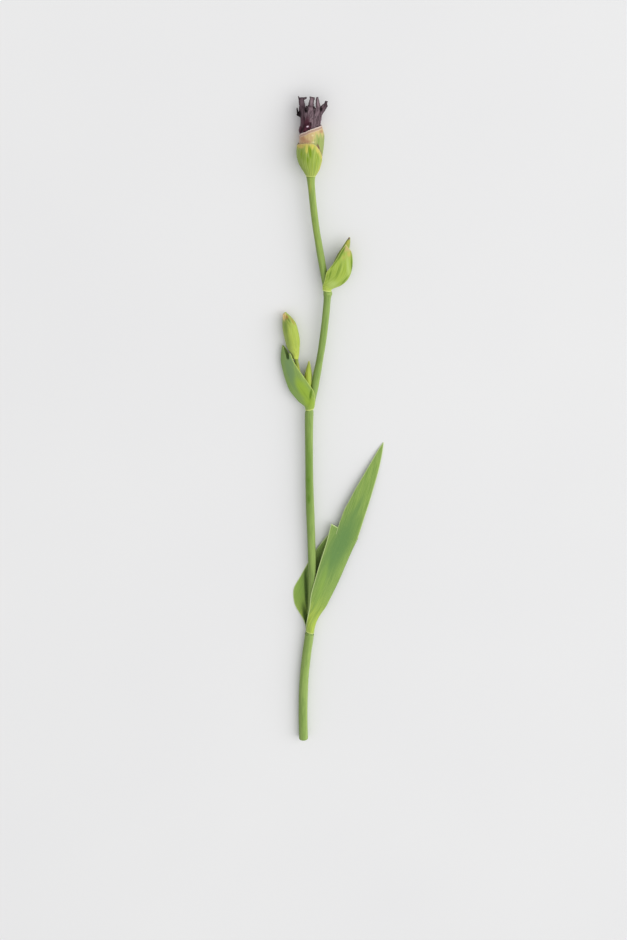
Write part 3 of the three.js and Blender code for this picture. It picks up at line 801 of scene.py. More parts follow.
def make_piece(
    name: str,
    patches: list[Patch],
    material: bpy.types.Material,
    slot: str,
    *nodes: str,
    marks: tuple[Mark, ...] = (),
) -> None:
    """Turns skins into one piece of the model and gives it its place in the frame.

    Args:
        name: The piece's name.
        patches: Its skins.
        material: Its finish.
        slot: Name of the material slot that the finish belongs to; not used.
        *nodes: The solids that the piece stands for.
        marks: The spots of other colours on it.
    """
    start = 0
    faces: list[tuple[int, ...]] = []
    for patch in patches:
        faces += [tuple(p + start for p in face) for face in patch.faces]
        start += len(patch.points)
    points = np.concatenate([patch.points for patch in patches])
    tint = np.zeros((len(points), 3))
    for mark in marks:
        weight = mark.weight(points)
        tint[:, mark.tint.value] = np.maximum(tint[:, mark.tint.value], weight)
        points[:, 2] -= mark.sink * weight
    points[:, 2] = np.maximum(points[:, 2], 0.02)  # what meets the surface is pressed flat on it
    mesh = bpy.data.meshes.new(name)
    mesh.from_pydata(((points - ORIGIN) * MM).tolist(), [], faces)
    grain, form = (np.concatenate([getattr(p, part) for p in patches]) for part in ("grain", "form"))
    for key, values in ((GRAIN, grain), (FORM, form), (TINT, tint)):
        layer = mesh.attributes.new(key, "FLOAT_VECTOR", "POINT")
        layer.data.foreach_set("vector", values.astype(np.float32).ravel())
    tidy = bmesh.new()
    tidy.from_mesh(mesh)
    bmesh.ops.dissolve_degenerate(tidy, dist=1e-7, edges=tidy.edges[:])
    bmesh.ops.recalc_face_normals(tidy, faces=tidy.faces[:])
    tidy.to_mesh(mesh)
    tidy.free()
    mesh.polygons.foreach_set("use_smooth", [True] * len(mesh.polygons))
    mesh.materials.append(material)
    piece = bpy.data.objects.new(name, mesh)
    bpy.context.collection.objects.link(piece)
    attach(piece, "root")
    if nodes:
        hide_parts(*nodes)
    LOG.info("%s: %d faces", name, len(mesh.polygons))


# ---------------------------------------------------------------- the stem


@dataclass
class Stem:
    """The round flowering stem, cut square at its lower end, with the stalks of its two shoots.

    Attributes:
        rows: The stem: x, y, radius, from the cut end to the flower head.
        low_stalk: Stalk of the lower shoot's bud: x, y, z, radius.
        up_stalk: Stalk of the upper shoot's bud: x, y, z, radius.
        seat: What the flower head stands on: x, y, z, half width, half depth.
        marks: Darker and paler places, most of them by the nodes.
        cut_rings: Rings of the cut face, from its middle: share of the radius, depth sunk.
        broad_swell: How far the skin is uneven, in waves about 40 mm long.
        fine_swell: The same, in waves about 13 mm long.
        sides: Points round the stem.
        rings_a_row: Rings from one row to the next.
    """

    rows: Rows = field(
        default_factory=lambda: [
            (-12.0, 0, 5.3), (-12.5, 28, 5.3), (-12.2, 56, 5.3), (-11.0, 86, 5.25), (-8.0, 118, 5.2),
            (-5.0, 141, 5.2), (-4.8, 144.5, 5.2), (-4.5, 147, 4.2), (-2.9, 166, 4.4), (-1.4, 192, 4.6),
            (-1.2, 218, 4.6), (-1.8, 244, 4.5), (-2.5, 270, 4.5), (-3.4, 296, 4.7), (-4.2, 320, 4.6),
            (-4.7, 346, 4.4), (-4.9, 372, 4.35), (-5.0, 398, 4.45), (-4.9, 418, 4.7), (-4.6, 425.5, 4.7),
            (-4.2, 429, 3.9), (-2.3, 437, 3.9), (-0.7, 446, 4.1), (1.1, 455, 4.2), (4.0, 472, 4.1),
            (6.8, 488, 3.7), (9.5, 506, 3.75), (11.7, 524, 3.8), (13.5, 542, 3.8), (14.5, 555.5, 3.8),
            (14.8, 560, 4.3), (15.0, 562.4, 4.9), (14.4, 564.6, 4.2), (13.5, 567.6, 3.5),
            (12.6, 575, 3.5), (10.4, 588, 3.7), (7.8, 603, 3.8), (5.5, 617, 3.7), (3.2, 631, 3.55),
            (1.2, 646, 3.55), (-0.6, 662, 3.6), (-1.9, 676, 3.7), (-2.6, 684.5, 4.1),
            (-2.8, 689.7, 4.8),
        ]
    )
    low_stalk: Rows = field(
        default_factory=lambda: [
            (-5, 434, 9.6, 2.4), (-10, 449, 9.0, 2.2), (-15, 466, 8.3, 2.1), (-19, 487, 7.8, 2.3),
        ]
    )
    up_stalk: Rows = field(
        default_factory=lambda: [(13.8, 565, 11, 2.4), (17.4, 570.2, 11, 2.2), (20.6, 577.2, 11, 2.3)]
    )
    seat: Rows = field(
        default_factory=lambda: [
            (-2.7, 687, 12.2, 2.1, 1.5), (-2.7, 692, 12.1, 2.2, 1.7), (-2.7, 697, 12, 2.8, 2.4),
        ]
    )
    marks: tuple[Mark, ...] = (
        Mark(Tint.DARK, -5.4, 345, 2.2, 7, 4, 0.9),
        Mark(Tint.DARK, -6.2, 336, 1.6, 8, -4, 0.7),
        Mark(Tint.DARK, -5.2, 322, 2.4, 9, 0, 1.0),
        Mark(Tint.DARK, -5.0, 350, 5.5, 75, 0, 0.55),
        Mark(Tint.DARK, -6.4, 383, 2.4, 14, 0, 0.5),
        Mark(Tint.WARM, -17.4, 478, 5, 18, -16, 0.7),
        Mark(Tint.DARK, -18.8, 489, 4, 2.6, 0, 0.9),
        Mark(Tint.DARK, -18.6, 483, 3, 7, 0, 0.45),
        Mark(Tint.DARK, -3.6, 413, 0.7, 3, 0, 0.4),
        Mark(Tint.DARK, -1.2, 665, 0.9, 13, 4, 0.4),
        Mark(Tint.WARM, -3.6, 678, 1.5, 9, 0, 0.5),
        Mark(Tint.PALE, 16.2, 563.6, 3.0, 1.4, 0, 0.35),
    )
    cut_rings: Rows = field(
        default_factory=lambda: [
            (0.08, 0.4), (0.3, 0.38), (0.6, 0.3), (0.9, 0.1), (0.96, -0.02), (0.985, -0.05),
        ]
    )
    broad_swell: float = 0.05
    fine_swell: float = 0.03
    sides: int = 56
    rings_a_row: int = 11

    def at(self, y: Array) -> tuple[Array, Array, Array]:
        """Finds the stem's axis.

        Args:
            y: Heights along the stem.

        Returns:
            The axis's x and z, and the stem's radius, at each height.
        """
        table = np.array(self.rows)
        x = np.interp(y, table[:, 1], table[:, 0])
        radius = np.interp(y, table[:, 1], table[:, 2])
        return x, LAY + RISE * np.asarray(y), radius

    def clear(self, points: Array, gap: float) -> Array:
        """Moves points that are too close to the stem straight out from it.

        Args:
            points: The points.
            gap: Least distance from the stem's skin.

        Returns:
            The moved points.
        """
        x, z, radius = self.at(points[..., 1])
        dx, dz = points[..., 0] - x, points[..., 2] - z
        distance = np.maximum(np.hypot(dx, dz), 1e-6)
        push = np.maximum((radius + gap) / distance, 1.0)
        return np.stack([x + dx * push, points[..., 1], z + dz * push], -1)

    def skin(self) -> Patch:
        """Builds the stem itself, with a cut face that shows the rind and the pith."""
        steps = self.rings_a_row * (len(self.rows) - 1)
        t = np.linspace(0, 1, steps + 1)
        x, y, radius = np.moveaxis(along(self.rows, t), -1, 0)
        z = LAY + RISE * y
        path = [(a, b, c, r, r) for a, b, c, r in zip(x, y, z, radius)]
        turn = np.linspace(0, 2 * math.pi, self.sides, endpoint=False)
        place, angle = np.meshgrid(t, turn, indexing="ij")
        level = y[:, None] + 0 * angle
        uneven = self.broad_swell * ripple(angle / math.pi, level / 41, 1.0)
        uneven += self.fine_swell * ripple(angle / 2.1, level / 13, 4.0)
        uneven *= ease(0, 8, level)
        rings = spindle_rings(path, place, angle, uneven)
        ring = radius[:, None]
        grain = np.stack([ring * np.cos(angle), ring * np.sin(angle), level], -1)
        form = np.stack([np.ones_like(level), level, np.cos(angle)], -1)
        middle = rings[0].mean(0)
        caps, cap_grain, cap_form = [], [], []
        for share, depth in self.cut_rings:
            caps.append(mix(middle, rings[0], share) + np.array([0, depth, 0]))
            cap_grain.append(grain[0] * (share, share, 1))
            cap_form.append(form[0] * (min(share, 0.975), 0, 1))
        return tube(
            np.concatenate([np.array(caps), rings]),
            np.concatenate([np.array(cap_grain), grain]),
            np.concatenate([np.array(cap_form), form]),
        )

    def stalk(self, rows: Rows, steps: int = 30) -> Patch:
        """Builds a stalk that takes its colours from its height along the stem.

        Args:
            rows: The stalk: x, y, z, half width and, where it isn't round, half depth.
            steps: Rings along it.

        Returns:
            The stalk.
        """
        patch = spindle([(*row[:4], row[-1]) for row in rows], 28, steps)
        patch.form[:, 0] = 1
        patch.form[:, 1] = patch.points[:, 1]
        return patch

    def build(self, finish: StemSkin) -> None:
        """Makes the stem's piece."""
        stalks = [self.stalk(self.low_stalk), self.stalk(self.up_stalk), self.stalk(self.seat, 10)]
        skins = [self.skin(), *stalks]
        make_piece("flowering_stem", skins, finish.build(), "stem_tissue", "scape", marks=self.marks)


# ---------------------------------------------------------------- leaf and bracts


@dataclass
class Fold:
    """A leaf or bract that is folded along its keel and clasps the stem at its base.

    Attributes:
        stem: The stem that it clasps.
        keel: Its keel: x, y, z.
        front: Margin of its upper wing: x, y, z.
        back: Margin of its lower wing: x, y, z.
        wrap_rows: How many rows up from its base it has let go of the stem.
        side: Which way it grows.
        thickness: Thickness of its body.
        rim: Thickness at its margins.
        thin_mm: Depth of the band that thins toward them.
        front_swell: How fully the upper wing swells out, as the power of its curve.
        back_swell: The same for the lower wing.
        clasp: How far each wing reaches round the stem, in degrees.
    """

    stem: Stem
    keel: Rows
    front: Rows
    back: Rows
    wrap_rows: float
    side: Side
    thickness: float = 0.7
    rim: float = 0.28
    thin_mm: float = 2.2
    front_swell: int = 2
    back_swell: int = 3
    clasp: float = 160.0

    def surface(self, u: Array, v: Array) -> Array:
        """Gives points of the sheet's middle.

        Args:
            u: From the front margin at 0, over the keel, to the back margin at 1.
            v: From the base at 0 to the top at 1.

        Returns:
            The points.
        """
        fold = along(self.keel, v)
        on_front = (u < 0.5)[..., None]
        reach = np.abs(1 - 2 * u)
        margin = np.where(on_front, along(self.front, v), along(self.back, v))
        lift = 1 - (1 - reach) ** np.where(u < 0.5, self.front_swell, self.back_swell)
        x = mix(fold[..., 0], margin[..., 0], reach)
        y = mix(fold[..., 1], margin[..., 1], reach)
        z = mix(fold[..., 2], margin[..., 2], lift)
        wrap = 1 - ease(0, 1, v * (len(self.keel) - 1) / self.wrap_rows)
        sx, sz, radius = self.stem.at(y)
        span = math.radians(self.clasp) * reach * np.where(u < 0.5, 1, -1)
        ring = radius + SNUG + self.thickness / 2
        x = mix(x, sx + self.side.value * ring * np.cos(span), wrap)
        z = mix(z, sz + ring * np.sin(span), wrap)
        return self.stem.clear(np.stack([x, y, z], -1), SNUG + self.thickness / 2)

    def measures(self, u: Array, v: Array) -> tuple[Array, Array]:
        """Gives the grain and form of a grid over the sheet.

        Args:
            u: Across the grid.
            v: Up the grid.

        Returns:
            The grain and the form, for each point.
        """
        points = self.surface(u, v)
        stretch = np.linalg.norm(np.diff(points, axis=1), axis=2)
        width = np.concatenate([np.zeros((len(points), 1)), np.cumsum(stretch, 1)], 1)
        middle = width[:, width.shape[1] // 2][:, None]
        climb = np.linalg.norm(np.diff(points[:, width.shape[1] // 4], axis=0), axis=1)
        height = np.concatenate([[0], np.cumsum(climb)])[:, None] + 0 * width
        edge = np.minimum(np.minimum(width, width[:, -1:] - width), height[-1:] - height)
        centre = points[..., 0].mean(1, keepdims=True)
        half = np.maximum(np.ptp(points[..., 0], axis=1)[:, None] / 2, 1e-3)
        side = np.clip((points[..., 0] - centre) / half, -1, 1)
        grain = np.stack([width - middle, 0 * width, height], -1)
        return grain, np.stack([edge, height, side], -1)

    def patch(
        self, across: int, up: int, gather: float = 1.0, bay: Rows | None = None, bay_z: float = 0
    ) -> Patch:
        """Builds the folded sheet.

        Args:
            across: Cells from margin to margin.
            up: Cells from base to top.
            gather: Over 1, rows are drawn together near the base.
            bay: Outline of a bay cut from the front wing: x, y.
            bay_z: Height over which the bay cuts.

        Returns:
            The sheet, thin along its margins.
        """
        u, v = grid(across, up)
        v = v**gather
        middle = self.surface(u, v)
        grain, form = self.measures(u, v)
        keep = None
        if bay is not None:
            keep, middle = cut_bay(middle, bay, bay_z)
        thickness = mix(self.rim, self.thickness, ease(0, self.thin_mm, form[..., 0]))
        return sheet(middle, thickness, grain, form, keep)


def cut_bay(middle: Array, bay: Rows, above: float) -> tuple[Array, Array]:
    """Takes a bay out of a grid of points.

    Args:
        middle: The grid's points.
        bay: Outline of the bay: x, y.
        above: Height over which the bay cuts.

    Returns:
        Which cells are left, and the points, with those by the bay moved onto its outline.
    """
    outline = np.array(bay)
    centre = (middle[:-1, :-1] + middle[1:, :-1] + middle[:-1, 1:] + middle[1:, 1:]) / 4
    inside = np.zeros(centre.shape[:2], bool)
    ends = np.roll(outline, -1, axis=0)
    for (x0, y0), (x1, y1) in zip(outline, ends):
        spans = (y0 > centre[..., 1]) != (y1 > centre[..., 1])
        rise = y1 - y0 if abs(y1 - y0) > 1e-9 else 1e-9
        inside ^= spans & (centre[..., 0] < (x1 - x0) * (centre[..., 1] - y0) / rise + x0)
    keep = ~(inside & (centre[..., 2] > above))
    padded = np.pad(keep, 1, mode="edge")
    corners = np.stack([padded[:-1, :-1], padded[1:, :-1], padded[:-1, 1:], padded[1:, 1:]])
    by_bay = corners.any(0) & ~corners.all(0)
    moved = middle.copy()
    for j, i in np.argwhere(by_bay):
        spot = middle[j, i, :2]
        run = ends - outline
        share = np.clip(((spot - outline) * run).sum(1) / (run**2).sum(1), 0, 1)
        nearest = outline + run * share[:, None]
        moved[j, i, :2] = nearest[np.argmin(np.linalg.norm(nearest - spot, axis=1))]
    return keep, moved


@dataclass
class ClaspingLeaf:
    """The stem's own leaf: a folded sheath round the stem that closes into one pointed blade.

    Attributes:
        stem: The stem that it clasps.
        keel: Keel of the sheath: x, y, z.
        front: Margin of the sheath's upper wing: x, y, z.
        back: Margin of the sheath's lower wing: x, y, z.
        blade_edge: Left edge of the blade: x, y, z.
        blade_keel: Right edge of the blade, which goes on from the keel: x, y, z.
        blade_thick: Thickness of the blade's middle, from its start to its tip.
        blade_share: Share of the sheath's top that the blade grows from.
        blade_start: How far up the sheath the blade begins, inside it.
        blade_points: Points from the blade's keel to its edge.
        joint_rings: Rings of the blade that lie in the sheath.
        blade_rings: Rings of the blade beyond it.
        smoothings: How often the joint is evened out.
        sheath_mm: Length of the sheath, which the blade's own measures go on from.
        marks: Darker, warmer and paler places; the dark ones are painted shadow.
    """

    stem: Stem
    keel: Rows = field(
        default_factory=lambda: [
            (1.8, 146, 6.7), (7, 163, 6.5), (14.5, 181, 6.5), (22.3, 199, 6.4),
            (29.5, 216, 6.2), (37, 236, 5.9), (44, 254, 5.6), (51, 270, 5.3),
        ]
    )
    front: Rows = field(
        default_factory=lambda: [
            (-10, 150, 11), (-7.7, 164, 12.8), (-5, 181, 13.2), (-3, 200, 13.2),
            (1, 217, 13), (7.5, 242, 12), (14, 264, 10.4), (20, 289, 8.6),
        ]
    )
    back: Rows = field(
        default_factory=lambda: [
            (-9.8, 145, 2.4), (-16.5, 161, 0.5), (-22, 180, 0.3), (-23.2, 200, 0.3),
            (-15, 218, 0.3), (-4, 240, 0.6), (7.5, 260, 3.2), (18.5, 277, 7.2),
        ]
    )
    blade_edge: Rows = field(
        default_factory=lambda: [
            (28, 286, 8.0), (34.2, 305, 7.6), (40.3, 317.5, 7.0), (46.5, 330.5, 6.3), (53, 342.5, 5.4),
            (59.5, 354.5, 4.4), (65.8, 366, 3.1), (71.8, 377, 1.6), (77.2, 385.5, 0.4),
        ]
    )
    blade_keel: Rows = field(
        default_factory=lambda: [
            (52.6, 277, 5.2), (58.2, 297, 4.9), (62.3, 311, 4.5), (65.7, 324, 4.0), (69.1, 337, 3.4),
            (72.3, 350, 2.6), (74.8, 362, 1.7), (76.8, 374, 0.9), (78, 385, 0.3),
        ]
    )
    blade_thick: tuple[float, ...] = (1.7, 1.9, 1.9, 1.8, 1.7, 1.5, 1.3, 1.1, 0.9)
    blade_share: float = 0.76
    blade_start: float = 0.84
    blade_points: int = 18
    joint_rings: int = 12
    blade_rings: int = 110
    smoothings: int = 5
    sheath_mm: float = 125.0
    marks: tuple[Mark, ...] = (
        # painted shadow: on the lower wing beside the stem, and inside the sheath's fold
        Mark(Tint.DARK, -8.6, 200, 2.6, 42, -2, 1.0, below=5),
        Mark(Tint.DARK, -8.5, 162, 4.5, 26, -10, 0.9, below=6),
        Mark(Tint.DARK, 5, 232, 7, 32, 24, 0.3, below=5.5),
        Mark(Tint.WARM, -16, 200, 10, 40, -4, 0.55, below=4),
        Mark(Tint.PALE, 30, 262, 16, 60, 24, 0.8, above=5),
        Mark(Tint.PALE, 42, 292, 5, 50, 26, 0.6, above=5),
        Mark(Tint.WARM, 10, 216, 5, 40, 14, 0.5, above=6),
        Mark(Tint.WARM, 58, 340, 4, 50, 24, 0.25, above=1),
    )

    def fold(self) -> Fold:
        """Gives the folded sheath."""
        return Fold(self.stem, self.keel, self.front, self.back, wrap_rows=2.2, side=Side.RIGHT)

    def blade(self) -> Patch:
        """Builds the blade: a flat lens that grows out of the sheath's front wing."""
        fold = self.fold()
        share = np.linspace(0, 1, self.blade_points)
        upper, lower = [], []
        for v in np.linspace(self.blade_start, 1, self.joint_rings):
            reach = self.blade_share * share
            place = np.full(self.blade_points, v)
            top = fold.surface(0.5 - reach / 2, place)
            under = fold.surface(0.5 + reach / 2, place)
            start = float(ease(self.blade_start, 1.0, v))
            bottom = top - np.array([0, 0, 0.1])
            if start > 0.99:  # the last ring takes in both wings
                bottom[:, 2] = under[:, 2] - 0.4
            upper.append(top + np.array([0, 0, 0.05 + 0.4 * start]))
            lower.append(bottom)
        for t in np.linspace(0.05, 1, self.blade_rings):
            edge, keel = along(self.blade_edge, t), along(self.blade_keel, t)
            thick = float(along([(value,) for value in self.blade_thick], t)[0])
            half = mix(0.3, thick, np.sin(math.pi * share)) / 2
            middle = keel + (edge - keel) * share[:, None]
            upper.append(middle + half[:, None] * np.array([0, 0, 1]))
            lower.append(middle - half[:, None] * np.array([0, 0, 1]))
        rings = np.concatenate([np.array(upper), np.array(lower)[:, ::-1]], 1)
        first = self.joint_rings - 3
        for _ in range(self.smoothings):
            before, here, after = rings[first - 1 : -3], rings[first:-2], rings[first + 1 : -1]
            rings[first:-2] = (before + 2 * here + after) / 4
        width = np.linalg.norm(rings[:, 0] - rings[:, self.blade_points - 1], axis=1)[:, None]
        across = np.concatenate([share, share[::-1]])[None, :]
        climb = np.linalg.norm(np.diff(rings[:, self.blade_points // 2], axis=0), axis=1)
        height = np.concatenate([[0], np.cumsum(climb)])[:, None] + 0 * across + 0.86 * self.sheath_mm
        edge_mm = np.minimum(np.minimum(across, 1 - across) * width, height[-1:] - height)
        grain = np.stack([-across * width, 0 * height, height], -1)
        form = np.stack([edge_mm + 0.15, height, 0.4 - 1.4 * across + 0 * height], -1)
        return tube(rings, grain, form)

    def build(self, finish: LeafSkin) -> None:
        """Makes the leaf's piece."""
        sheath = self.fold().patch(90, 130)
        skins = [sheath, self.blade()]
        make_piece("clasping_leaf", skins, finish.build(), "leaf_tissue", "stem_leaf", marks=self.marks)


# ---------------------------------------------------------------- side shoots


@dataclass
class BudSheath:
    """A valve wrapped round a bud, open along one side and drawn out to a papery point.

    Attributes:
        rows: The bud: x, y, z, half width, half depth.
        first: Where round the bud the valve begins, in degrees.
        last: Where it ends.
        thickness: Thickness of its body.
        rim: Thickness at its margins.
        gap: From the bud to the valve.
        shoulder: How far up the bud its two margins reach, as a share of the bud's length.
        girth: Its length round a bud that has the half width of the next line.
        girth_half: That half width.
    """

    rows: Rows
    first: float
    last: float
    thickness: float = 0.6
    rim: float = 0.25
    gap: float = 0.55
    shoulder: float = 0.45
    girth: float = 60.0
    girth_half: float = 14.0

    def build(self) -> Patch:
        """Builds the valve."""
        u, v = grid(64, 60)
        taper = np.sin(math.pi * np.clip(u, 0.001, 0.999)) ** 0.7
        t = mix(0.03, mix(self.shoulder, 1.0, taper), v)
        angle = np.radians(mix(self.first, self.last, u))
        middle = spindle_rings(self.rows, t, angle, self.thickness / 2 + self.gap)
        length = float(np.linalg.norm(np.subtract(self.rows[-1][:3], self.rows[0][:3])))
        half = along(self.rows, t)[..., 3]
        edge = np.minimum(np.minimum(u, 1 - u) * self.girth * half / self.girth_half, (1 - t) * length)
        grain = np.stack([half * np.cos(angle), half * np.sin(angle), t * length], -1)
        form = np.stack([edge, t * length, np.cos(angle)], -1)
        thickness = mix(self.rim, self.thickness, ease(0, 1.5, edge))
        return sheet(middle, thickness, grain, form)


@dataclass
class LowerShoot:
    """The lower side shoot: its leafy bract, the bractlet in the axil, and its swollen bud.

    Attributes:
        stem: The stem that it grows from.
        keel: Keel of the leafy bract: x, y, z.
        front: Margin of the bract's upper wing: x, y, z.
        back: Margin of the bract's lower wing: x, y, z.
        bay: Outline of the bay by the bract's tip: x, y.
        bay_z: Height over which the bay cuts.
        bractlet: Bractlet in the axil: x, y, z of its crest, half width.
        bractlet_drop: How far the bractlet's margins lie below its crest.
        bractlet_thick: Thickness of its body.
        bractlet_rim: Thickness at its margins.
        bractlet_gap: Least distance from the stem to its middle.
        bud: The bud: x, y, z, half width, half depth.
        bud_ridge: Height of the bud's soft ridges.
        bud_ridges: How many there are.
        bract_marks: Darker, warmer and paler places on the bract.
        bud_marks: The same on the bud and its valve.
        bractlet_marks: The same on the bractlet.
    """

    stem: Stem
    keel: Rows = field(
        default_factory=lambda: [
            (-10.4, 428.2, 9.6), (-13.8, 435, 9.3), (-19.2, 442, 8.8), (-25.3, 450, 8.3),
            (-29.3, 460, 7.8), (-32.4, 471, 7.4), (-34.9, 483, 7.0), (-35, 490.5, 6.8),
            (-34.4, 496.6, 6.6), (-33.7, 501.8, 6.4),
        ]
    )
    front: Rows = field(
        default_factory=lambda: [
            (0.6, 430.6, 12), (1.2, 441, 14), (0.8, 451, 14.8), (-4, 459.5, 15),
            (-10.3, 469, 14.6), (-16.7, 478.5, 14), (-21.4, 486.5, 13.2), (-24.6, 494.5, 12.2),
            (-29, 497, 10), (-32.6, 500.8, 7.4),
        ]
    )
    back: Rows = field(
        default_factory=lambda: [
            (0.6, 429.2, 6), (1.0, 437, 4.2), (-0.4, 445, 3.0), (-5, 453, 1.6),
            (-11.5, 462, 0.5), (-18, 472, 0.3), (-23.5, 483, 0.3), (-27.5, 492.5, 0.7),
            (-30.3, 498, 2.2), (-32.8, 502.3, 4.9),
        ]
    )
    bay: Rows = field(
        default_factory=lambda: [
            (-26.1, 503), (-26.3, 488.4), (-28.8, 488.2), (-30.4, 494), (-32.6, 503),
        ]
    )
    bay_z: float = 7.2
    bractlet: Rows = field(
        default_factory=lambda: [
            (-6.2, 450, 12.4, 2.6), (-5.9, 458, 12.8, 4.6), (-5.8, 467, 12.7, 4.3),
            (-5.4, 474, 12.3, 3.2), (-5.0, 480.5, 11.6, 1.9), (-4.9, 486.2, 10.8, 0.4),
        ]
    )
    bractlet_drop: float = 3.6
    bractlet_thick: float = 0.6
    bractlet_rim: float = 0.25
    bractlet_gap: float = 0.5
    bud: Rows = field(
        default_factory=lambda: [
            (-18.9, 486.8, 7.8, 2.4, 2.4), (-19.2, 494, 7.7, 3.9, 3.7), (-21.1, 502, 7.6, 6.5, 5.6),
            (-22.3, 510, 7.6, 7.4, 6.5), (-23.9, 518, 7.6, 7.5, 6.6), (-25.6, 526, 7.5, 6.9, 6.0),
            (-28.1, 533.5, 7.4, 4.4, 4.1), (-30.5, 540, 7.4, 1.2, 1.2),
        ]
    )
    bud_ridge: float = 0.12
    bud_ridges: int = 5
    bract_marks: tuple[Mark, ...] = (
        Mark(Tint.WARM, -10.5, 453, 8, 22, -32, 0.85),
        Mark(Tint.WARM, -5, 440, 8, 12, -20, 0.75),
        Mark(Tint.DARK, -3.0, 449.0, 1.8, 9, 8, 1.0),
        Mark(Tint.PALE, -24.8, 486, 3.8, 9, -24, 1.0),
        Mark(Tint.DARK, -9.5, 449, 1.2, 16, -32, 0.3),
        Mark(Tint.PALE, -25, 473, 6, 24, -16, 0.95),
        Mark(Tint.PALE, -22, 460, 4, 18, -36, 0.6),
        Mark(Tint.DARK, -20.5, 487.5, 1.1, 7, -32, 0.5),
        Mark(Tint.DARK, -24.3, 485.7, 3.0, 6, -24, 0.2),
    )
    bud_marks: tuple[Mark, ...] = (
        Mark(Tint.WARM, -28.2, 535.5, 1.9, 3.2, -25, 0.85),
        Mark(Tint.WARM, -22.2, 531, 1.0, 7, -30, 0.5),
        Mark(Tint.PALE, -31.4, 537, 2.6, 7, 0, 0.85),
        Mark(Tint.DARK, -26.4, 533, 1.1, 5, -35, 0.8),
        Mark(Tint.DARK, -29.5, 525, 3.0, 14, -6, 0.55),
        Mark(Tint.DARK, -27.5, 512, 2.0, 20, -8, 0.4),
    )
    bractlet_marks: tuple[Mark, ...] = (
        Mark(Tint.DARK, -8.7, 468, 0.6, 8, 24, 0.6),
        Mark(Tint.PALE, -2.8, 466, 0.8, 12, -8, 0.5),
    )

    def axil_bractlet(self) -> Patch:
        """Builds the small pale bract in the axil."""
        u, v = grid(28, 44)
        x, y, crest, half = np.moveaxis(along(self.bractlet, v), -1, 0)
        across = 2 * u - 1
        drop = self.bractlet_drop * np.minimum(1, 3 * v) * np.minimum(1, 1.4 * (1 - v) + 0.1)
        points = np.stack([x + half * across, y, crest - drop * across**2], -1)
        points = self.stem.clear(points, self.bractlet_gap)
        length = self.bractlet[-1][1] - self.bractlet[0][1]
        edge = np.minimum((1 - np.abs(across)) * half, (1 - v) * length)
        grain = np.stack([across * half, 0 * v, v * length], -1)
        form = np.stack([edge, v * length, across], -1)
        thickness = mix(self.bractlet_rim, self.bractlet_thick, ease(0, 1.2, edge))
        return sheet(points, thickness, grain, form)

    def build(self, bract: LeafSkin, bractlet: LeafSkin, bud: LeafSkin) -> None:
        """Makes the shoot's four pieces."""
        fold = Fold(self.stem, self.keel, self.front, self.back, wrap_rows=1.5, side=Side.LEFT)
        leafy = fold.patch(110, 120, gather=1.4, bay=self.bay, bay_z=self.bay_z)
        skin = bract.build()
        marks = self.bract_marks
        make_piece("lower_shoot_bract", [leafy], skin, "bract_tissue", "lower_bract", marks=marks)
        small = self.axil_bractlet()
        skin, marks = bractlet.build(), self.bractlet_marks
        make_piece("axil_scale", [small], skin, "bract_tissue", "axil_bractlet", marks=marks)
        core = spindle(self.bud, 56, 90, self.bud_ridge, self.bud_ridges)
        valve = BudSheath(self.bud, first=55, last=305).build()
        skin, marks = bud.build(), self.bud_marks
        make_piece("lower_shoot_bud", [core], skin, "bud_tissue", "lower_bud", marks=marks)
        make_piece("lower_bud_sheath", [valve], skin, "bud_tissue", "lower_bud_valve", marks=marks)


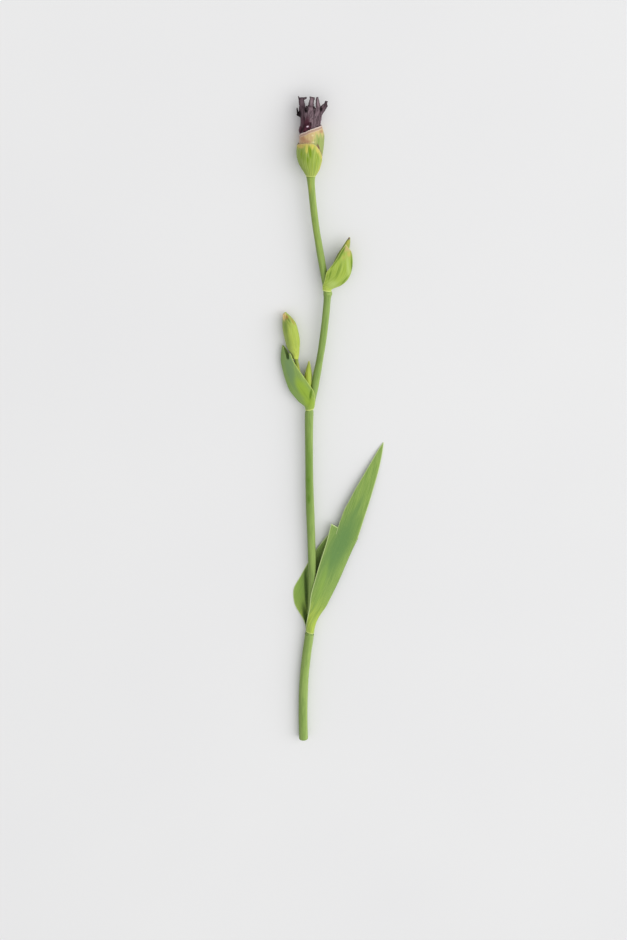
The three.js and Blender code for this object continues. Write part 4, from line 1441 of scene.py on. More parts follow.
@dataclass
class UpperShoot:
    """The upper side shoot: a boat-shaped bract with a pointed bud inside it.

    Attributes:
        stem: The stem that it grows from.
        keel: Keel of the bract: x, y, z.
        front: Margin of the bract's upper wing: x, y, z.
        back: Margin of the bract's lower wing: x, y, z.
        bud: The bud: x, y, z, half width, half depth.
        bud_ridge: Height of the bud's soft ridges.
        bud_ridges: How many there are.
        bract_marks: Darker, warmer and paler places on the bract.
        bud_marks: The same on the bud.
    """

    stem: Stem
    keel: Rows = field(
        default_factory=lambda: [
            (19, 565, 11), (26, 569.7, 11), (33, 574.8, 11), (37.8, 581.3, 10.9), (40.3, 589.5, 10.7),
            (41, 597, 10.5), (40.6, 603.5, 10.3), (39.8, 607.3, 10.2), (38.8, 610, 10.2),
        ]
    )
    front: Rows = field(
        default_factory=lambda: [
            (9.2, 567, 12.5), (10.4, 573.5, 15.7), (12.2, 581, 16.8), (13.4, 587.5, 17.8),
            (16.2, 592, 18.2), (20.7, 597.6, 18), (24.9, 603.6, 17.2), (28.9, 610.6, 15.9),
            (33.9, 618.2, 14.9),
        ]
    )
    back: Rows = field(
        default_factory=lambda: [
            (9.2, 566, 9.5), (10.6, 571, 6.8), (12.8, 577, 5.2), (14.4, 582.5, 4.0), (17.2, 587, 3.2),
            (21.4, 592, 3.0), (25.6, 597.5, 3.4), (30.4, 603.5, 4.4), (35.8, 608.4, 6.2),
        ]
    )
    bud: Rows = field(
        default_factory=lambda: [
            (20.8, 577.6, 11, 2.2, 2.2), (22.9, 584, 11, 4.8, 3.6), (25.3, 590.5, 10.9, 6.0, 4.2),
            (28.0, 597, 10.8, 6.2, 4.3), (30.7, 604, 10.7, 5.5, 3.9), (33.6, 611.5, 10.6, 4.0, 3.1),
            (36.1, 618.5, 10.5, 2.5, 2.1), (37.7, 624, 10.5, 0.8, 0.8),
        ]
    )
    bud_ridge: float = 0.1
    bud_ridges: int = 4
    bract_marks: tuple[Mark, ...] = (
        Mark(Tint.DARK, 17.4, 585.5, 1.2, 9, 14, 0.65),
        Mark(Tint.DARK, 14.6, 583.5, 1.0, 5, 10, 0.5),
        Mark(Tint.DARK, 23.0, 600, 1.8, 12, 34, 0.7),
        Mark(Tint.DARK, 27.5, 605, 1.6, 8, 34, 0.7),
        Mark(Tint.DARK, 26.5, 590, 2.4, 14, 20, 0.5),
        Mark(Tint.DARK, 40.5, 592, 1.2, 22, -4, 0.8),
        Mark(Tint.DARK, 33.0, 577.5, 1.3, 11, 38, 0.65),
        Mark(Tint.PALE, 36.5, 592, 2.4, 20, -6, 0.55),
        Mark(Tint.PALE, 20, 574, 7, 8, 60, 0.5),
        Mark(Tint.DARK, 29.4, 610.0, 2.4, 9, 32, 1.0),
        Mark(Tint.WARM, 37.5, 606.5, 3.2, 4.0, -30, 0.8),
        Mark(Tint.WARM, 32.0, 604.0, 3.6, 4.0, 34, 0.4),
    )
    bud_marks: tuple[Mark, ...] = (
        Mark(Tint.DARK, 37.3, 623.3, 1.3, 2.2, 30, 0.9),
        Mark(Tint.WARM, 35.6, 618.5, 1.6, 3.5, 25, 0.8),
    )

    def build(self, bract: LeafSkin, bud: LeafSkin) -> None:
        """Makes the shoot's two pieces."""
        fold = Fold(self.stem, self.keel, self.front, self.back, wrap_rows=1.4, side=Side.RIGHT)
        boat = fold.patch(96, 100, gather=1.4)
        skin, marks = bract.build(), self.bract_marks
        make_piece("upper_shoot_bract", [boat], skin, "bract_tissue", "upper_bract", marks=marks)
        core = spindle(self.bud, 48, 80, self.bud_ridge, self.bud_ridges)
        skin, marks = bud.build(), self.bud_marks
        make_piece("upper_shoot_bud", [core], skin, "bud_tissue", "upper_bud", marks=marks)


# ---------------------------------------------------------------- the flower head


@dataclass
class Shred:
    """A torn strip of petal that stands above the flower.

    Attributes:
        face: Way its flat side faces, in degrees.
        run: Its middle line: x, y, z, half width.
        seed: Makes its ragged edge its own.
        furrow: Depth of its lengthwise furrow.
    """

    face: float
    run: Rows
    seed: float
    furrow: float = 0.28

    def build(self, base_y: float) -> Patch:
        """Builds the strip, with ragged edges and a slight lengthwise furrow.

        Args:
            base_y: Height that the form's base distance is counted from.

        Returns:
            The closed strip.
        """
        steps, sides = 46, 18
        t = np.linspace(0, 1, steps + 1)
        facing = np.array([math.cos(math.radians(self.face)), 0, math.sin(math.radians(self.face))])
        rows = along(self.run, t)
        heading = (along(self.run, t + 0.02) - along(self.run, t - 0.02))[:, :3]
        heading /= np.linalg.norm(heading, axis=1, keepdims=True)
        flat = np.cross(heading, facing)
        flat /= np.linalg.norm(flat, axis=1, keepdims=True)
        thin = np.cross(flat, heading)
        length = float(np.linalg.norm(np.diff(rows[:, :3], axis=0), axis=1).sum())
        turn = np.linspace(0, 2 * math.pi, sides, endpoint=False)
        place, angle = np.meshgrid(t, turn, indexing="ij")
        ragged = 1 + 0.1 * ripple(place * length / 6.5, np.sign(np.cos(angle)) * 0.3, self.seed)
        ragged += 0.05 * ripple(place * length / 2.1, np.sign(np.cos(angle)) * 0.7, self.seed + 3)
        half = rows[:, 3][:, None] * mix(1, ragged, ease(0.1, 0.35, place))
        across = half * np.cos(angle)
        furrow = self.furrow * np.cos(across / np.maximum(half, 0.3) * 4.5 + self.seed)
        furrow = furrow * ease(0, 0.2, place) * np.minimum(1, half / 2)
        deep = mix(0.42, 0.3, place) * np.sin(angle) + furrow
        points = rows[:, None, :3] + flat[:, None] * across[..., None] + thin[:, None] * deep[..., None]
        edge = np.minimum(half - np.abs(across), (1 - place) * length)
        grain = np.stack([across + 3 * self.seed, deep, points[..., 1]], -1)
        side = np.clip(points[..., 0] / 14 + 0.2, -1, 1)
        form = np.stack([np.maximum(edge, 0.4), points[..., 1] - base_y, side], -1)
        return tube(points, grain, form)


@dataclass
class Tepal:
    """One petal of the flower: a pleated sheet with a torn upper edge, and its standing shreds.

    Attributes:
        name: The piece's name.
        node: The solid that it stands for.
        layer: 0 for the outer petals, 1 for the inner ones.
        rim: Its upper edge: degrees round the head, height.
        shreds: The strips that stand above it.
    """

    name: str
    node: str
    layer: int
    rim: Rows
    shreds: list[Shred] = field(default_factory=list)


@dataclass
class FlowerHead:
    """The spathe of two valves, and the dark, shrivelled flower that pushes out of it.

    Attributes:
        height: Height of the head's middle above the surface.
        spathe_depth: Depth of the spathe over its width.
        flower_depth: Depth of the flower over its width.
        spathe_base: Where along the stem the spathe begins.
        petal_base: Where along the stem the petals begin.
        step: From one row of a layer to the next, along the stem.
        layer_step: From the outer petals to the inner ones.
        pleats: Pleats round the flower.
        pleat_depth: Their depth.
        valve: Thickness of a valve.
        valve_rim: Thickness at its margin.
        valve_girth: Its length round the head.
        valve_radius: Radius that its grain is measured at.
        ribs: Ribs round it.
        rib: Their height.
        dry_band: Depth of the band by its margin that is crumpled.
        margin: Depth of the band that thins toward its margin.
        petal: Thickness of a petal.
        petal_rim: Thickness at its torn edge.
        petal_girth: Length of a petal round the head.
        petal_radius: Radius that its grain is measured at.
        tear: How far its upper edge is torn, in teeth about 9 degrees wide.
        fine_tear: The same, in teeth about 3 degrees wide.
        wrinkle: Depth of its wrinkles.
        outer: The outer valve: middle, half width.
        inner: The inner valve: middle, half width.
        flower: The petals: middle, half width.
        outer_rim: Margin of the outer valve: degrees round the head, height.
        inner_rim: Margin of the inner valve: degrees round the head, height.
        tube_rows: The ovary and tube: x, y, z, half width, half depth.
        lobe: The curled fold: x, y, z, half width, half depth.
        lobe_ridge: Height of its ridges.
        lobe_ridges: How many there are.
        outer_marks: Darker, warmer and paler places on the outer valve.
        inner_marks: The same on the inner valve; its dark streaks are partly painted shadow.
        flower_marks: On the petals: painted shade in recesses, wine red, and painted glints.
        fold_marks: The same on the curled fold, with the wet glint as a painted highlight.
    """

    height: float = 12.0
    spathe_depth: float = 0.87
    flower_depth: float = 0.82
    spathe_base: float = 690.0
    petal_base: float = 719.8
    step: float = 6.0
    layer_step: float = 1.8
    pleats: int = 11
    pleat_depth: float = 0.34
    valve: float = 0.7
    valve_rim: float = 0.22
    valve_girth: float = 70.0
    valve_radius: float = 13.0
    ribs: int = 34
    rib: float = 0.07
    dry_band: float = 9.0
    margin: float = 3.0
    petal: float = 0.55
    petal_rim: float = 0.25
    petal_girth: float = 24.0
    petal_radius: float = 11.0
    tear: float = 0.7
    fine_tear: float = 0.4
    wrinkle: float = 0.2
    outer: Rows = field(
        default_factory=lambda: [
            (-2.7, 5.1), (-2.6, 8.6), (-3.4, 11.3), (-3.7, 13.1), (-3.6, 14.0), (-3.1, 14.1),
            (-2.3, 14.0), (-2.0, 13.7),
        ]
    )
    inner: Rows = field(
        default_factory=lambda: [
            (-2.7, 3.9), (-2.6, 7.4), (-3.3, 10.1), (-3.5, 11.9), (-3.1, 12.7), (-2.4, 12.8),
            (-2.0, 12.9), (-1.9, 12.9), (-2.5, 12.1), (-2.9, 11.1), (-3.0, 10.2),
        ]
    )
    flower: Rows = field(
        default_factory=lambda: [
            (-2.2, 8.8), (-2.3, 10.2), (-2.8, 10.9), (-3.5, 11.3), (-3.1, 10.2), (-2.6, 10.7),
            (-2.6, 11.2), (-2.6, 11.5), (-2.6, 11.8),
        ]
    )
    outer_rim: Rows = field(
        default_factory=lambda: [
            (9, 706.5), (24, 711.5), (38, 716), (52, 720.2), (67, 724), (82, 726.4), (110, 726.6),
            (135, 725.4), (158, 724), (180, 722.2), (215, 723.6), (245, 725.6), (278, 726.4),
            (308, 720.2), (336, 710.2), (351, 704.2),
        ]
    )
    inner_rim: Rows = field(
        default_factory=lambda: [
            (-172, 732.2), (-150, 734.2), (-110, 736.7), (-63, 740.2), (-25, 742.2), (0, 742.6),
            (25, 742.8), (63, 742), (95, 740.2), (122, 737.4), (150, 735.2), (172, 732.2),
        ]
    )
    tube_rows: Rows = field(
        default_factory=lambda: [
            (-2.7, 697, 12, 2.6, 2.4), (-2.7, 701, 12, 3.6, 3.4), (-2.7, 705, 12, 3.8, 3.5),
            (-2.7, 709, 12, 3.4, 3.2), (-2.5, 713, 12, 4.2, 4.0), (-2.2, 716.8, 12, 6.6, 5.9),
            (-2.2, 719.4, 12, 8.6, 7.5),
        ]
    )
    lobe: Rows = field(
        default_factory=lambda: [
            (-9.6, 735.8, 19.0, 0.8, 0.5), (-8.6, 738.4, 20.0, 2.2, 1.0), (-7.0, 741.2, 20.7, 3.2, 1.4),
            (-5.2, 743.6, 20.8, 3.0, 1.3), (-3.8, 746.2, 20.4, 1.9, 0.9), (-3.2, 748.8, 19.8, 0.6, 0.4),
        ]
    )
    lobe_ridge: float = 0.3
    lobe_ridges: int = 3
    outer_marks: tuple[Mark, ...] = (
        Mark(Tint.PALE, -7.0, 720.8, 1.9, 6.0, 0, 1.0, above=12),
        Mark(Tint.PALE, -1.0, 724.0, 3.2, 5.0, 0, 0.8, above=12),
        Mark(Tint.PALE, 3.4, 720.5, 2.4, 6.0, -10, 0.5, above=12),
        Mark(Tint.PALE, 6.0, 714.5, 1.8, 8.0, -20, 0.3, above=12),
        Mark(Tint.WARM, -13.0, 723.0, 4.2, 3.2, 0, 0.8, above=12),
        Mark(Tint.WARM, -8.8, 725.0, 1.6, 2.2, 0, 0.7, above=12),
        Mark(Tint.WARM, 3.0, 725.0, 3.0, 2.0, 20, 0.6, above=12),
        Mark(Tint.DARK, -3.4, 717.5, 2.2, 8.5, -8, 1.0, above=12),
        Mark(Tint.DARK, -12.6, 714.5, 1.2, 7.0, 0, 0.75, above=12),
        Mark(Tint.DARK, -9.6, 712.5, 1.0, 7.0, 0, 0.6, above=12),
        Mark(Tint.DARK, -5.8, 709.5, 1.8, 5.0, 0, 0.65, above=12),
        Mark(Tint.DARK, 4.5, 712.0, 1.0, 8.0, -10, 0.4, above=12),
    )
    inner_marks: tuple[Mark, ...] = (
        # dark streaks just above the outer valve's rim: partly a brown streak, partly painted shadow of
        # that rim
        Mark(Tint.DARK, 5.0, 722.4, 1.2, 5.0, -20, 1.0, above=14),
        Mark(Tint.DARK, 8.0, 714.5, 0.7, 8.0, -14, 0.6, above=12),
        Mark(Tint.PALE, -1.0, 734.6, 1.7, 1.3, 0, 0.8, above=14),
        Mark(Tint.PALE, -0.4, 727.6, 2.6, 1.5, 0, 0.7, above=14),
        Mark(Tint.WARM, -10.4, 730.0, 4.2, 4.0, 0, 0.8, above=14),
        Mark(Tint.WARM, -5.5, 728.4, 5.0, 1.8, 0, 0.6, above=14),
        Mark(Tint.WARM, 8.5, 737.5, 4.0, 2.4, 0, 0.7, above=14),
    )
    flower_marks: tuple[Mark, ...] = (
        # painted shade: near black in the recesses between and below the torn shreds, and on one shred's
        # shaded left edge
        Mark(Tint.DARK, -7.4, 759.6, 2.2, 3.6, 0, 1.0, 0.8, above=12),
        Mark(Tint.DARK, 1.0, 762.6, 2.0, 1.7, 0, 1.0, 0.8, above=12),
        Mark(Tint.DARK, 1.4, 758.6, 1.0, 5.0, 4, 0.7, 0.5, above=12),
        Mark(Tint.DARK, 7.4, 759.6, 1.6, 3.8, -18, 1.0, 0.9, above=12),
        Mark(Tint.DARK, 12.0, 763.5, 2.4, 4.8, 20, 0.5, above=11),
        Mark(Tint.DARK, 4.6, 750.5, 3.6, 7.5, 0, 0.3, above=14),
        Mark(Tint.DARK, 2.4, 768.4, 0.9, 4.6, 0, 0.9, above=14),
        Mark(Tint.DARK, 1.4, 764.8, 1.3, 1.6, 0, 1.0, above=14),
        Mark(Tint.DARK, -15.0, 755.0, 3.6, 6.0, 0, 1.0, above=11),
        Mark(Tint.DARK, -12.2, 738.3, 1.5, 5.5, 20, 0.6, 0.7, above=12),
        Mark(Tint.DARK, -9.4, 751.0, 1.1, 3.2, 0, 0.7, 0.3, above=12),
        Mark(Tint.DARK, -11.0, 764.0, 0.8, 6.0, 0, 0.3, above=12),
        Mark(Tint.WARM, -7.4, 745.0, 4.0, 11.0, 10, 0.9, above=14),
        Mark(Tint.WARM, -10.6, 748.0, 2.8, 8.0, 0, 0.5, above=12),
        Mark(Tint.WARM, -12.8, 739.0, 2.2, 5.0, 15, 1.0, above=11),
        # painted glints and highlights on the petals and shreds
        Mark(Tint.PALE, -9.7, 738.6, 0.9, 4.0, 22, 0.7, above=12),
        Mark(Tint.PALE, -2.2, 749.6, 2.4, 4.5, 0, 0.35, above=14),
        Mark(Tint.PALE, -11.8, 767.4, 2.2, 5.6, 0, 0.25, above=14),
        Mark(Tint.PALE, -2.0, 768.6, 1.9, 4.6, 0, 0.5, above=14),
        Mark(Tint.PALE, 4.5, 766.8, 1.2, 4.6, 0, 0.6, above=14),
    )
    fold_marks: tuple[Mark, ...] = (
        # painted highlight: the wet glint
        Mark(Tint.PALE, -6.0, 743.5, 1.6, 1.0, -15, 0.9),
        # painted shade in the fold's recesses
        Mark(Tint.DARK, -4.9, 739.8, 1.6, 1.9, 0, 1.0, 0.6),
        Mark(Tint.DARK, -2.9, 745.4, 1.5, 1.9, -20, 1.0, 0.5),
        Mark(Tint.WARM, -8.0, 740.6, 1.8, 3.0, 0, 0.8),
    )

    def tepals(self) -> list[Tepal]:
        """Lists the flower's six petals."""
        return [
            Tepal(
                "fall_front", "outer_tepal_1", 0,
                [(31, 759), (38, 762.5), (61, 763.5), (68, 761), (75, 763.5), (103, 763.5),
                 (110, 760), (120, 758.5), (129, 760)],
                [
                    Shred(95, [(-3.0, 752, 20.5, 3.9), (-3.0, 760, 20.6, 3.6), (-2.6, 764.5, 20.6, 2.9),
                               (-1.9, 769, 20.5, 2.4), (-1.1, 773, 20.3, 2.7)], 0.7),
                    Shred(65, [(4.5, 752, 19.0, 3.2), (4.8, 760, 19.1, 3.0), (4.5, 764, 19.0, 2.5),
                               (4.0, 768, 18.9, 1.9), (3.7, 772.6, 18.5, 1.1)], 2.1),
                ],
            ),
            Tepal(
                "fall_left", "outer_tepal_2", 0,
                [(132, 760), (140, 763), (160, 763), (170, 758), (182, 757), (195, 755), (210, 760),
                 (228, 757), (246, 761), (262, 757)],
                [
                    Shred(108, [(-11.4, 752, 16.0, 3.9), (-11.2, 758, 16.3, 3.8),
                                (-11.5, 763, 16.4, 3.4), (-12.0, 768, 16.5, 3.1),
                                (-12.5, 771.8, 16.5, 2.3)], 1.3),
                    Shred(100, [(-13, 770.5, 16.5, 1.2), (-10.3, 770.4, 16.7, 1.4),
                                (-8.4, 771.1, 16.8, 1.1), (-6.9, 771.9, 16.9, 0.7)], 0.2),
                    Shred(108, [(-14.0, 768.6, 16.0, 1.0), (-14.6, 770.7, 15.9, 0.8),
                                (-15.3, 772.9, 15.8, 0.5)], 2.8),
                    Shred(90, [(-11.8, 753.6, 13, 3.6), (-14, 754.2, 13, 3.0), (-15.6, 754.6, 13, 2.5),
                               (-16.8, 755, 13, 1.7)], 1.9),
                    Shred(90, [(-15.9, 755.4, 13, 1.0), (-16.4, 758, 13, 0.8),
                               (-16.8, 760.6, 13, 0.5)], 0.4),
                ],
            ),
            Tepal(
                "fall_right", "outer_tepal_3", 0,
                [(-96, 757), (-80, 761), (-62, 756), (-44, 760), (-28, 757), (-14, 758), (2, 759),
                 (16, 759), (29, 757)],
                [
                    Shred(80, [(5.6, 752.4, 12.7, 2.6), (7.6, 756.8, 12.8, 2.9),
                               (10.0, 760.4, 12.9, 3.0), (11.7, 762.9, 13, 2.7),
                               (12.4, 764.8, 13, 1.5), (13.2, 767.4, 13, 1.3)], 1.1),
                ],
            ),
            Tepal(
                "standard_right", "inner_tepal_1", 1,
                [(-29, 756.2), (-16, 751.2), (30, 751.2), (40, 759.2), (52, 761.2), (66, 759.2),
                 (78, 762.2), (89, 758.2)],
            ),
            Tepal(
                "standard_left", "inner_tepal_2", 1,
                [(91, 760.2), (102, 757.2), (112, 758.2), (122, 752.2), (178, 751.2), (194, 758.2),
                 (209, 755.2)],
            ),
            Tepal(
                "standard_back", "inner_tepal_3", 1,
                [(211, 757.2), (226, 761.2), (244, 758.2), (258, 761.2), (272, 757.2), (288, 761.2),
                 (304, 757.2), (318, 760.2), (329, 756.2)],
            ),
        ]

    def point(self, rows: Rows, depth: float, angle: Array, y: Array, start: float, out: Array) -> Array:
        """Gives points of one layer of the head.

        Args:
            rows: The layer's middle and half width, row by row.
            depth: Its depth over its width.
            angle: Angle of each point round the head, in radians.
            y: Height of each point along the stem.
            start: Height of the first row.
            out: How far each point is pushed out, in mm.

        Returns:
            The points.
        """
        row = along(rows, (y - start) / (self.step * (len(rows) - 1)))
        middle, half = row[..., 0], row[..., 1]
        return np.stack(
            [
                middle + (half + out) * np.cos(angle),
                y,
                self.height + (half * depth + out) * np.sin(angle),
            ],
            -1,
        )

    def spathe_valve(self, rows: Rows, rim: Rows, seed: float, curl: float, crumple: float) -> Patch:
        """Builds one valve of the spathe.

        Args:
            rows: The valve's middle and half width, row by row.
            rim: Its margin: degrees round the head, height.
            seed: Makes its ragged margin its own.
            curl: How far the margin turns out, in mm.
            crumple: How far its dry band is crumpled, in mm.

        Returns:
            The valve, thin at its margin.
        """
        u, v = grid(200, 80)
        table = np.array(rim)
        degrees = mix(table[0, 0], table[-1, 0], u)
        angle = np.radians(degrees)
        top = np.interp(degrees, table[:, 0], table[:, 1]) + 0.2 * ripple(degrees / 23, 0 * u, seed)
        y = mix(self.spathe_base, top, v)
        edge = np.minimum(top - y, np.minimum(u, 1 - u) * self.valve_girth)
        rib = self.rib * np.sin(self.ribs * angle + 2 * v) * ease(0, 10, y - self.spathe_base)
        dry = 1 - ease(0, self.dry_band, edge)
        worn = crumple * dry * ripple(degrees / 21, y / 17, seed + 2)
        inward = ease(0, self.margin, edge)
        out = rib + worn + curl * (1 - inward) - self.valve / 2
        middle = self.point(rows, self.spathe_depth, angle, y, self.spathe_base, out)
        thickness = mix(self.valve_rim, self.valve - 0.1, inward)
        round_x, round_z = self.valve_radius * np.cos(angle), self.valve_radius * np.sin(angle)
        grain = np.stack([round_x, round_z, y - self.spathe_base], -1)
        form = np.stack([edge, y - self.spathe_base, np.cos(angle)], -1)
        return sheet(middle, thickness, grain, form)

    def petal_sheet(self, tepal: Tepal, seed: float) -> Patch:
        """Builds the pleated sheet of one petal.

        Args:
            tepal: The petal.
            seed: Makes its wrinkles its own.

        Returns:
            The sheet, torn along its upper edge.
        """
        u, v = grid(110, 74)
        table = np.array(tepal.rim)
        degrees = mix(table[0, 0], table[-1, 0], u)
        angle = np.radians(degrees)
        tear = self.tear * ripple(degrees / 9, 0 * u, seed)
        tear = tear + self.fine_tear * ripple(degrees / 3.1, 0 * u, seed + 5)
        top = np.interp(degrees, table[:, 0], table[:, 1]) + tear
        y = mix(self.petal_base, top, v)
        wander = 1.6 * ripple(degrees / 70, y / 34, seed + 4)
        pleat = self.pleat_depth * np.sin(self.pleats * angle + 2 * v + wander) * ease(0, 1, v)
        wrinkle = self.wrinkle * ripple(degrees / 13, y / 15, seed + 1) * ease(0, 0.3, v)
        out = pleat + wrinkle - 0.35 - tepal.layer * self.layer_step
        middle = self.point(self.flower, self.flower_depth, angle, y, self.petal_base, out)
        edge = np.minimum(top - y, np.minimum(u, 1 - u) * self.petal_girth)
        thickness = mix(self.petal_rim, self.petal, ease(0, 2, edge))
        round_x, round_z = self.petal_radius * np.cos(angle), self.petal_radius * np.sin(angle)
        grain = np.stack([round_x, round_z, y], -1)
        form = np.stack([edge + 0.5, y - self.petal_base, np.cos(angle) + 0.15], -1)
        return sheet(middle, thickness, grain, form)

    def build(self, outer: LeafSkin, inner: DriedValveSkin, petal: DryPetal, moist: MoistPetal) -> None:
        """Makes the head's pieces."""
        valve = self.spathe_valve(self.outer, self.outer_rim, seed=0.6, curl=0.15, crumple=0.1)
        skin, marks = outer.build(), self.outer_marks
        make_piece("outer_spathe", [valve], skin, "spathe_green", "head_outer_valve", marks=marks)
        valve = self.spathe_valve(self.inner, self.inner_rim, seed=2.4, curl=0.1, crumple=0.22)
        skin, marks = inner.build(), self.inner_marks
        make_piece("inner_spathe", [valve], skin, "spathe_papery", "head_inner_valve", marks=marks)
        skin = petal.build()
        throat = spindle(self.tube_rows, 40, 40)
        make_piece("ovary_and_tube", [throat], skin, "flower_tissue", "flower_tube")
        for index, tepal in enumerate(self.tepals()):
            skins = [self.petal_sheet(tepal, 1.0 + index)]
            skins += [shred.build(self.petal_base) for shred in tepal.shreds]
            make_piece(tepal.name, skins, skin, "flower_tissue", tepal.node, marks=self.flower_marks)
        fold = spindle(self.lobe, 40, 60, self.lobe_ridge, self.lobe_ridges)
        make_piece("curled_petal_fold", [fold], moist.build(), "flower_tissue", marks=self.fold_marks)


# ---------------------------------------------------------------- floor, light and camera


@dataclass
class Studio:
    """A plain pale floor, broad soft light and the camera above the stem.

    Attributes:
        camera_at: Place of the camera, in mm, in the stem's own frame.
        pitch: How far the camera is tipped off straight down, in degrees.
        sensor: Height of the camera's sensor, in mm.
        focal: Its focal length, in mm; 1700 is that length in lines of a picture 940 lines high.
        key: Strength of the main light.
        key_tip: How far it comes from the cut end, in degrees; under 0, from the flower's end.
        key_lean: How far it comes from the right, in degrees.
        key_spread: How much of the sky it fills, in degrees.
        panel: Power of the side panel, in watts.
        panel_size: Its side, in metres.
        panel_at: Its place, in metres.
        panel_lean: How far it is turned to the stem, in degrees.
        sky: Strength of the sky.
        sky_colour: Its colour, as sRGB hex.
        floor_m: Side of the floor, in metres.
    """

    camera_at: tuple[float, float, float] = (0.0, 1137.83, 1733.0)
    pitch: float = 24.4
    sensor: float = 36.0
    focal: float = 1700 / 940 * 36
    key: float = 1.3
    key_tip: float = -10.0
    key_lean: float = 40.0
    key_spread: float = 70.0
    panel: float = 14.0
    panel_size: float = 2.4
    panel_at: tuple[float, float, float] = (2.6, 0.4, 1.5)
    panel_lean: float = 60.0
    sky: float = 0.72
    sky_colour: str = "#f7f7f7"
    floor_m: float = 80.0

    def floor(self, finish: PaleFloor) -> None:
        """Makes the floor."""
        half = self.floor_m / 2
        corners = [(-half, -half, 0), (half, -half, 0), (half, half, 0), (-half, half, 0)]
        mesh = bpy.data.meshes.new("floor")
        mesh.from_pydata(corners, [], [(0, 1, 2, 3)])
        mesh.materials.append(finish.build())
        floor = bpy.data.objects.new("floor", mesh)
        bpy.context.collection.objects.link(floor)

    def lights(self) -> None:
        """Hangs a very broad soft light to the right, a weaker one beside it, and a pale sky."""
        sun = bpy.data.lights.new("soft_key", "SUN")
        sun.energy = self.key
        sun.angle = math.radians(self.key_spread)
        high = bpy.data.objects.new("soft_key", sun)
        high.rotation_euler = (math.radians(self.key_tip), math.radians(self.key_lean), 0)
        panel = bpy.data.lights.new("side_panel", "AREA")
        panel.shape = "SQUARE"
        panel.size = self.panel_size
        panel.energy = self.panel
        side = bpy.data.objects.new("side_panel", panel)
        side.location = self.panel_at
        side.rotation_euler = (0, math.radians(self.panel_lean), 0)
        for lamp in (high, side):
            bpy.context.collection.objects.link(lamp)
        world = bpy.data.worlds.new("studio")
        world.use_nodes = True
        pale = world.node_tree.nodes["Background"]
        pale.inputs["Color"].default_value = linear(self.sky_colour)
        pale.inputs["Strength"].default_value = self.sky
        bpy.context.scene.world = world

    def build(self, finish: PaleFloor) -> None:
        """Sets the floor, the lights and the camera."""
        self.floor(finish)
        self.lights()
        data = bpy.data.cameras.new("camera")
        data.sensor_fit = "VERTICAL"
        data.sensor_height = self.sensor
        data.lens = self.focal
        camera = bpy.data.objects.new("camera", data)
        camera.location = ((np.array(self.camera_at) - ORIGIN) * MM).tolist()
        camera.rotation_euler = (-math.radians(self.pitch), 0, 0)
        bpy.context.collection.objects.link(camera)
        bpy.context.scene.camera = camera
        bpy.context.scene.view_settings.view_transform = "Standard"


# ---------------------------------------------------------------- leaf tissues

# In each of these the base tone is what grew last, next to the stem. The blade and tip tones are
# older tissue that has stood in the light.

# Stem leaf, alive, with a thin bloom of wax: yellow where it clasps the stem and turning to a
# bluish green up the blade, which the wax makes dull and even. Its margin is a pale clear line.
STEM_LEAF = LeafSkin(
    name="living_leaf_wax_bloomed",
    base="#b6c83c",
    blade="#7c9c44",
    tip="#82a044",
    base_mm=(6, 60),
    tip_mm=(150, 235),
    shade="#5d823c",
    left="#75924e",
    # the dark tint is the colour of the painted shadow in the fold
    tints=("#3f5718", "#8cae4a", "#64894a"),
    right="#99b660",
    margin="#c9db98",
    margin_mm=1.3,
    left_strength=0.3,
    right_strength=0.3,
    ring="#ccd980",
    vein_strength=0.2,
)

# Leafy bract of the lower shoot, alive and waxed like the leaf but smaller: the same run from
# yellow green to blue green in a third of the length, with a bright yellow green edge.
LEAFY_BRACT = LeafSkin(
    name="living_bract_wax_bloomed",
    base="#9bb347",
    blade="#86a548",
    tip="#7d9950",
    base_mm=(0, 22),
    tip_mm=(30, 60),
    shade="#6a8a48",
    left="#739458",
    tints=("#5f8018", "#97b53c", "#77955f"),
    margin="#bccf6c",
    left_strength=0.5,
    right_strength=0.1,
    shade_strength=0.35,
)

# Small bract in the axil, grown in the shade of the larger one: thin, soft and yellow, with one
# dry tan streak.
AXIL_BRACTLET = LeafSkin(
    name="young_bractlet_thin",
    base="#99ae34",
    blade="#adbf3a",
    tip="#98a03c",
    base_mm=(0, 10),
    tip_mm=(22, 34),
    shade="#8ea33a",
    left="#9db145",
    tints=("#a98a3a", "#b0a048", "#c9cc7c"),
    margin="#c5c877",
    margin_mm=0.7,
    left_strength=0.3,
    shade_strength=0.3,
)

# Swollen lower bud and the valve wrapped round it, stretched by the flower inside: pale and
# smooth over the swelling, and drying from the point down, so the tip is olive and tan.
LOWER_BUD_SHEATH = LeafSkin(
    name="bud_sheath_green_papery_tip",
    base="#d6e25a",
    blade="#acbd46",
    tip="#8f9f46",
    base_mm=(0, 20),
    tip_mm=(34, 50),
    shade="#8ca040",
    left="#889a52",
    tints=("#678036", "#a9773c", "#eccc8c"),
    right="#bccd5c",
    margin="#b9c455",
    margin_mm=0.6,
    ring="#7e8d30",
    ring_mm=1.4,
    left_strength=0.7,
    shade_strength=0.3,
    vein_strength=0.2,
)

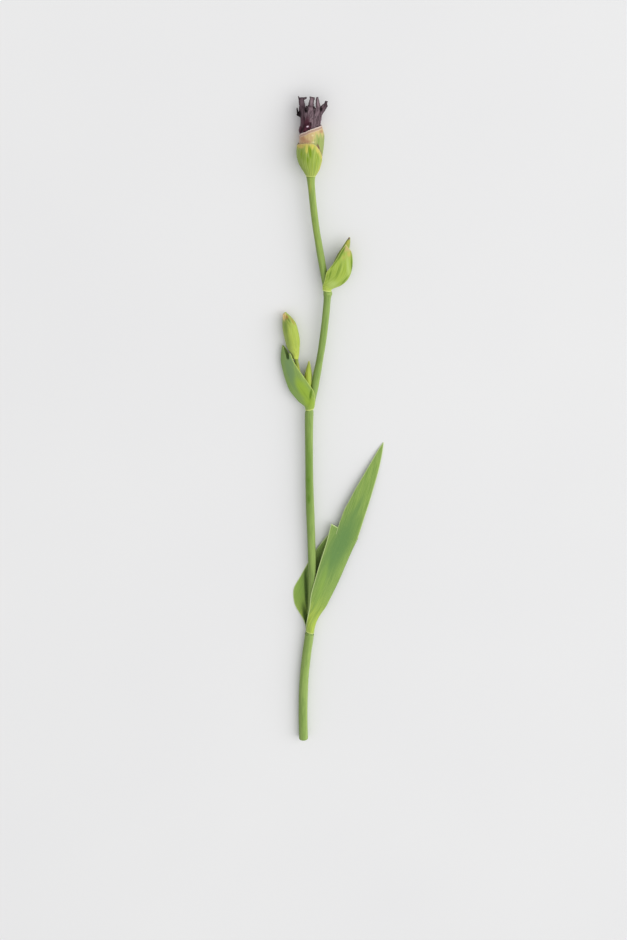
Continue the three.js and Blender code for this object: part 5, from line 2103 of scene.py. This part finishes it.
# Boat-shaped bract of the upper node, green at its keel while its top has dried to thin tan
# paper, with a warmer blush that grows toward its left.
BOAT_BRACT = LeafSkin(
    name="boat_bract_papery_top",
    base="#b9c84e",
    blade="#a0b63a",
    tip="#9cb040",
    base_mm=(0, 14),
    tip_mm=(35, 52),
    shade="#809c28",
    left="#93aa3c",
    tints=("#5f7f18", "#bdb25a", "#b4ca72"),
    margin="#bfcf70",
    margin_mm=0.8,
    left_strength=0.3,
    shade_strength=0.6,
    shade_mm=(1.8, 26),
    paper="#c6b87c",
    paper_mm=9.0,
    paper_from=(47, 54),
    paper_blush="#bf9f74",
    blush_side=(1.2, -0.2),
    vein_strength=0.26,
)

# Pointed upper bud, closed and firm: a dull olive that yellows upward, with a mauve brown speck
# at its tip, where the wall is thinnest.
UPPER_BUD = LeafSkin(
    name="pointed_bud_olive_tip",
    base="#8a9a46",
    blade="#87943c",
    tip="#a3a648",
    base_mm=(0, 12),
    tip_mm=(34, 44),
    shade="#6f7f36",
    left="#76843c",
    tints=("#74566a", "#b8b34e", "#b9ba66"),
    margin="#a9ac52",
    margin_mm=0.5,
    left_strength=0.7,
    shade_strength=0.35,
    ring_mm=0.1,
)

# Outer valve of the flower head, alive and strongly ribbed, just begun to dry at its rim: green
# below, then a yellow, frayed band with tan patches.
OUTER_VALVE = LeafSkin(
    name="spathe_valve_green_yellow_rim",
    base="#bfcb58",
    blade="#9eb13c",
    tip="#9cad3c",
    base_mm=(0, 15),
    tip_mm=(22, 36),
    shade="#789330",
    left="#76893f",
    tints=("#7a9710", "#c5ae60", "#cfc75c"),
    right="#aec255",
    margin="#cdbd86",
    margin_mm=0.9,
    left_strength=0.66,
    shade_strength=0.7,
    shade_mm=(1.6, 24),
    paper="#cdc068",
    paper_mm=4.6,
    paper_blush="#c09a58",
    blush_side=(0.2, -0.7),
    fray_mm=(3.0, 1.3, 12),
    ring="#d4e07e",
    ring_mm=2.0,
    vein_strength=0.27,
)


# ---------------------------------------------------------------- everything


def main() -> None:
    """Builds the stem with all that it carries, and the studio round it."""
    logging.basicConfig(level=logging.INFO, format="%(name)s: %(message)s")
    stem = Stem()
    stem.build(StemSkin())
    ClaspingLeaf(stem).build(STEM_LEAF)
    LowerShoot(stem).build(LEAFY_BRACT, AXIL_BRACTLET, LOWER_BUD_SHEATH)
    UpperShoot(stem).build(BOAT_BRACT, UPPER_BUD)
    FlowerHead().build(OUTER_VALVE, DriedValveSkin(), DryPetal(), MoistPetal())
    Studio().build(PaleFloor())


if __name__ == "__main__":
    main()
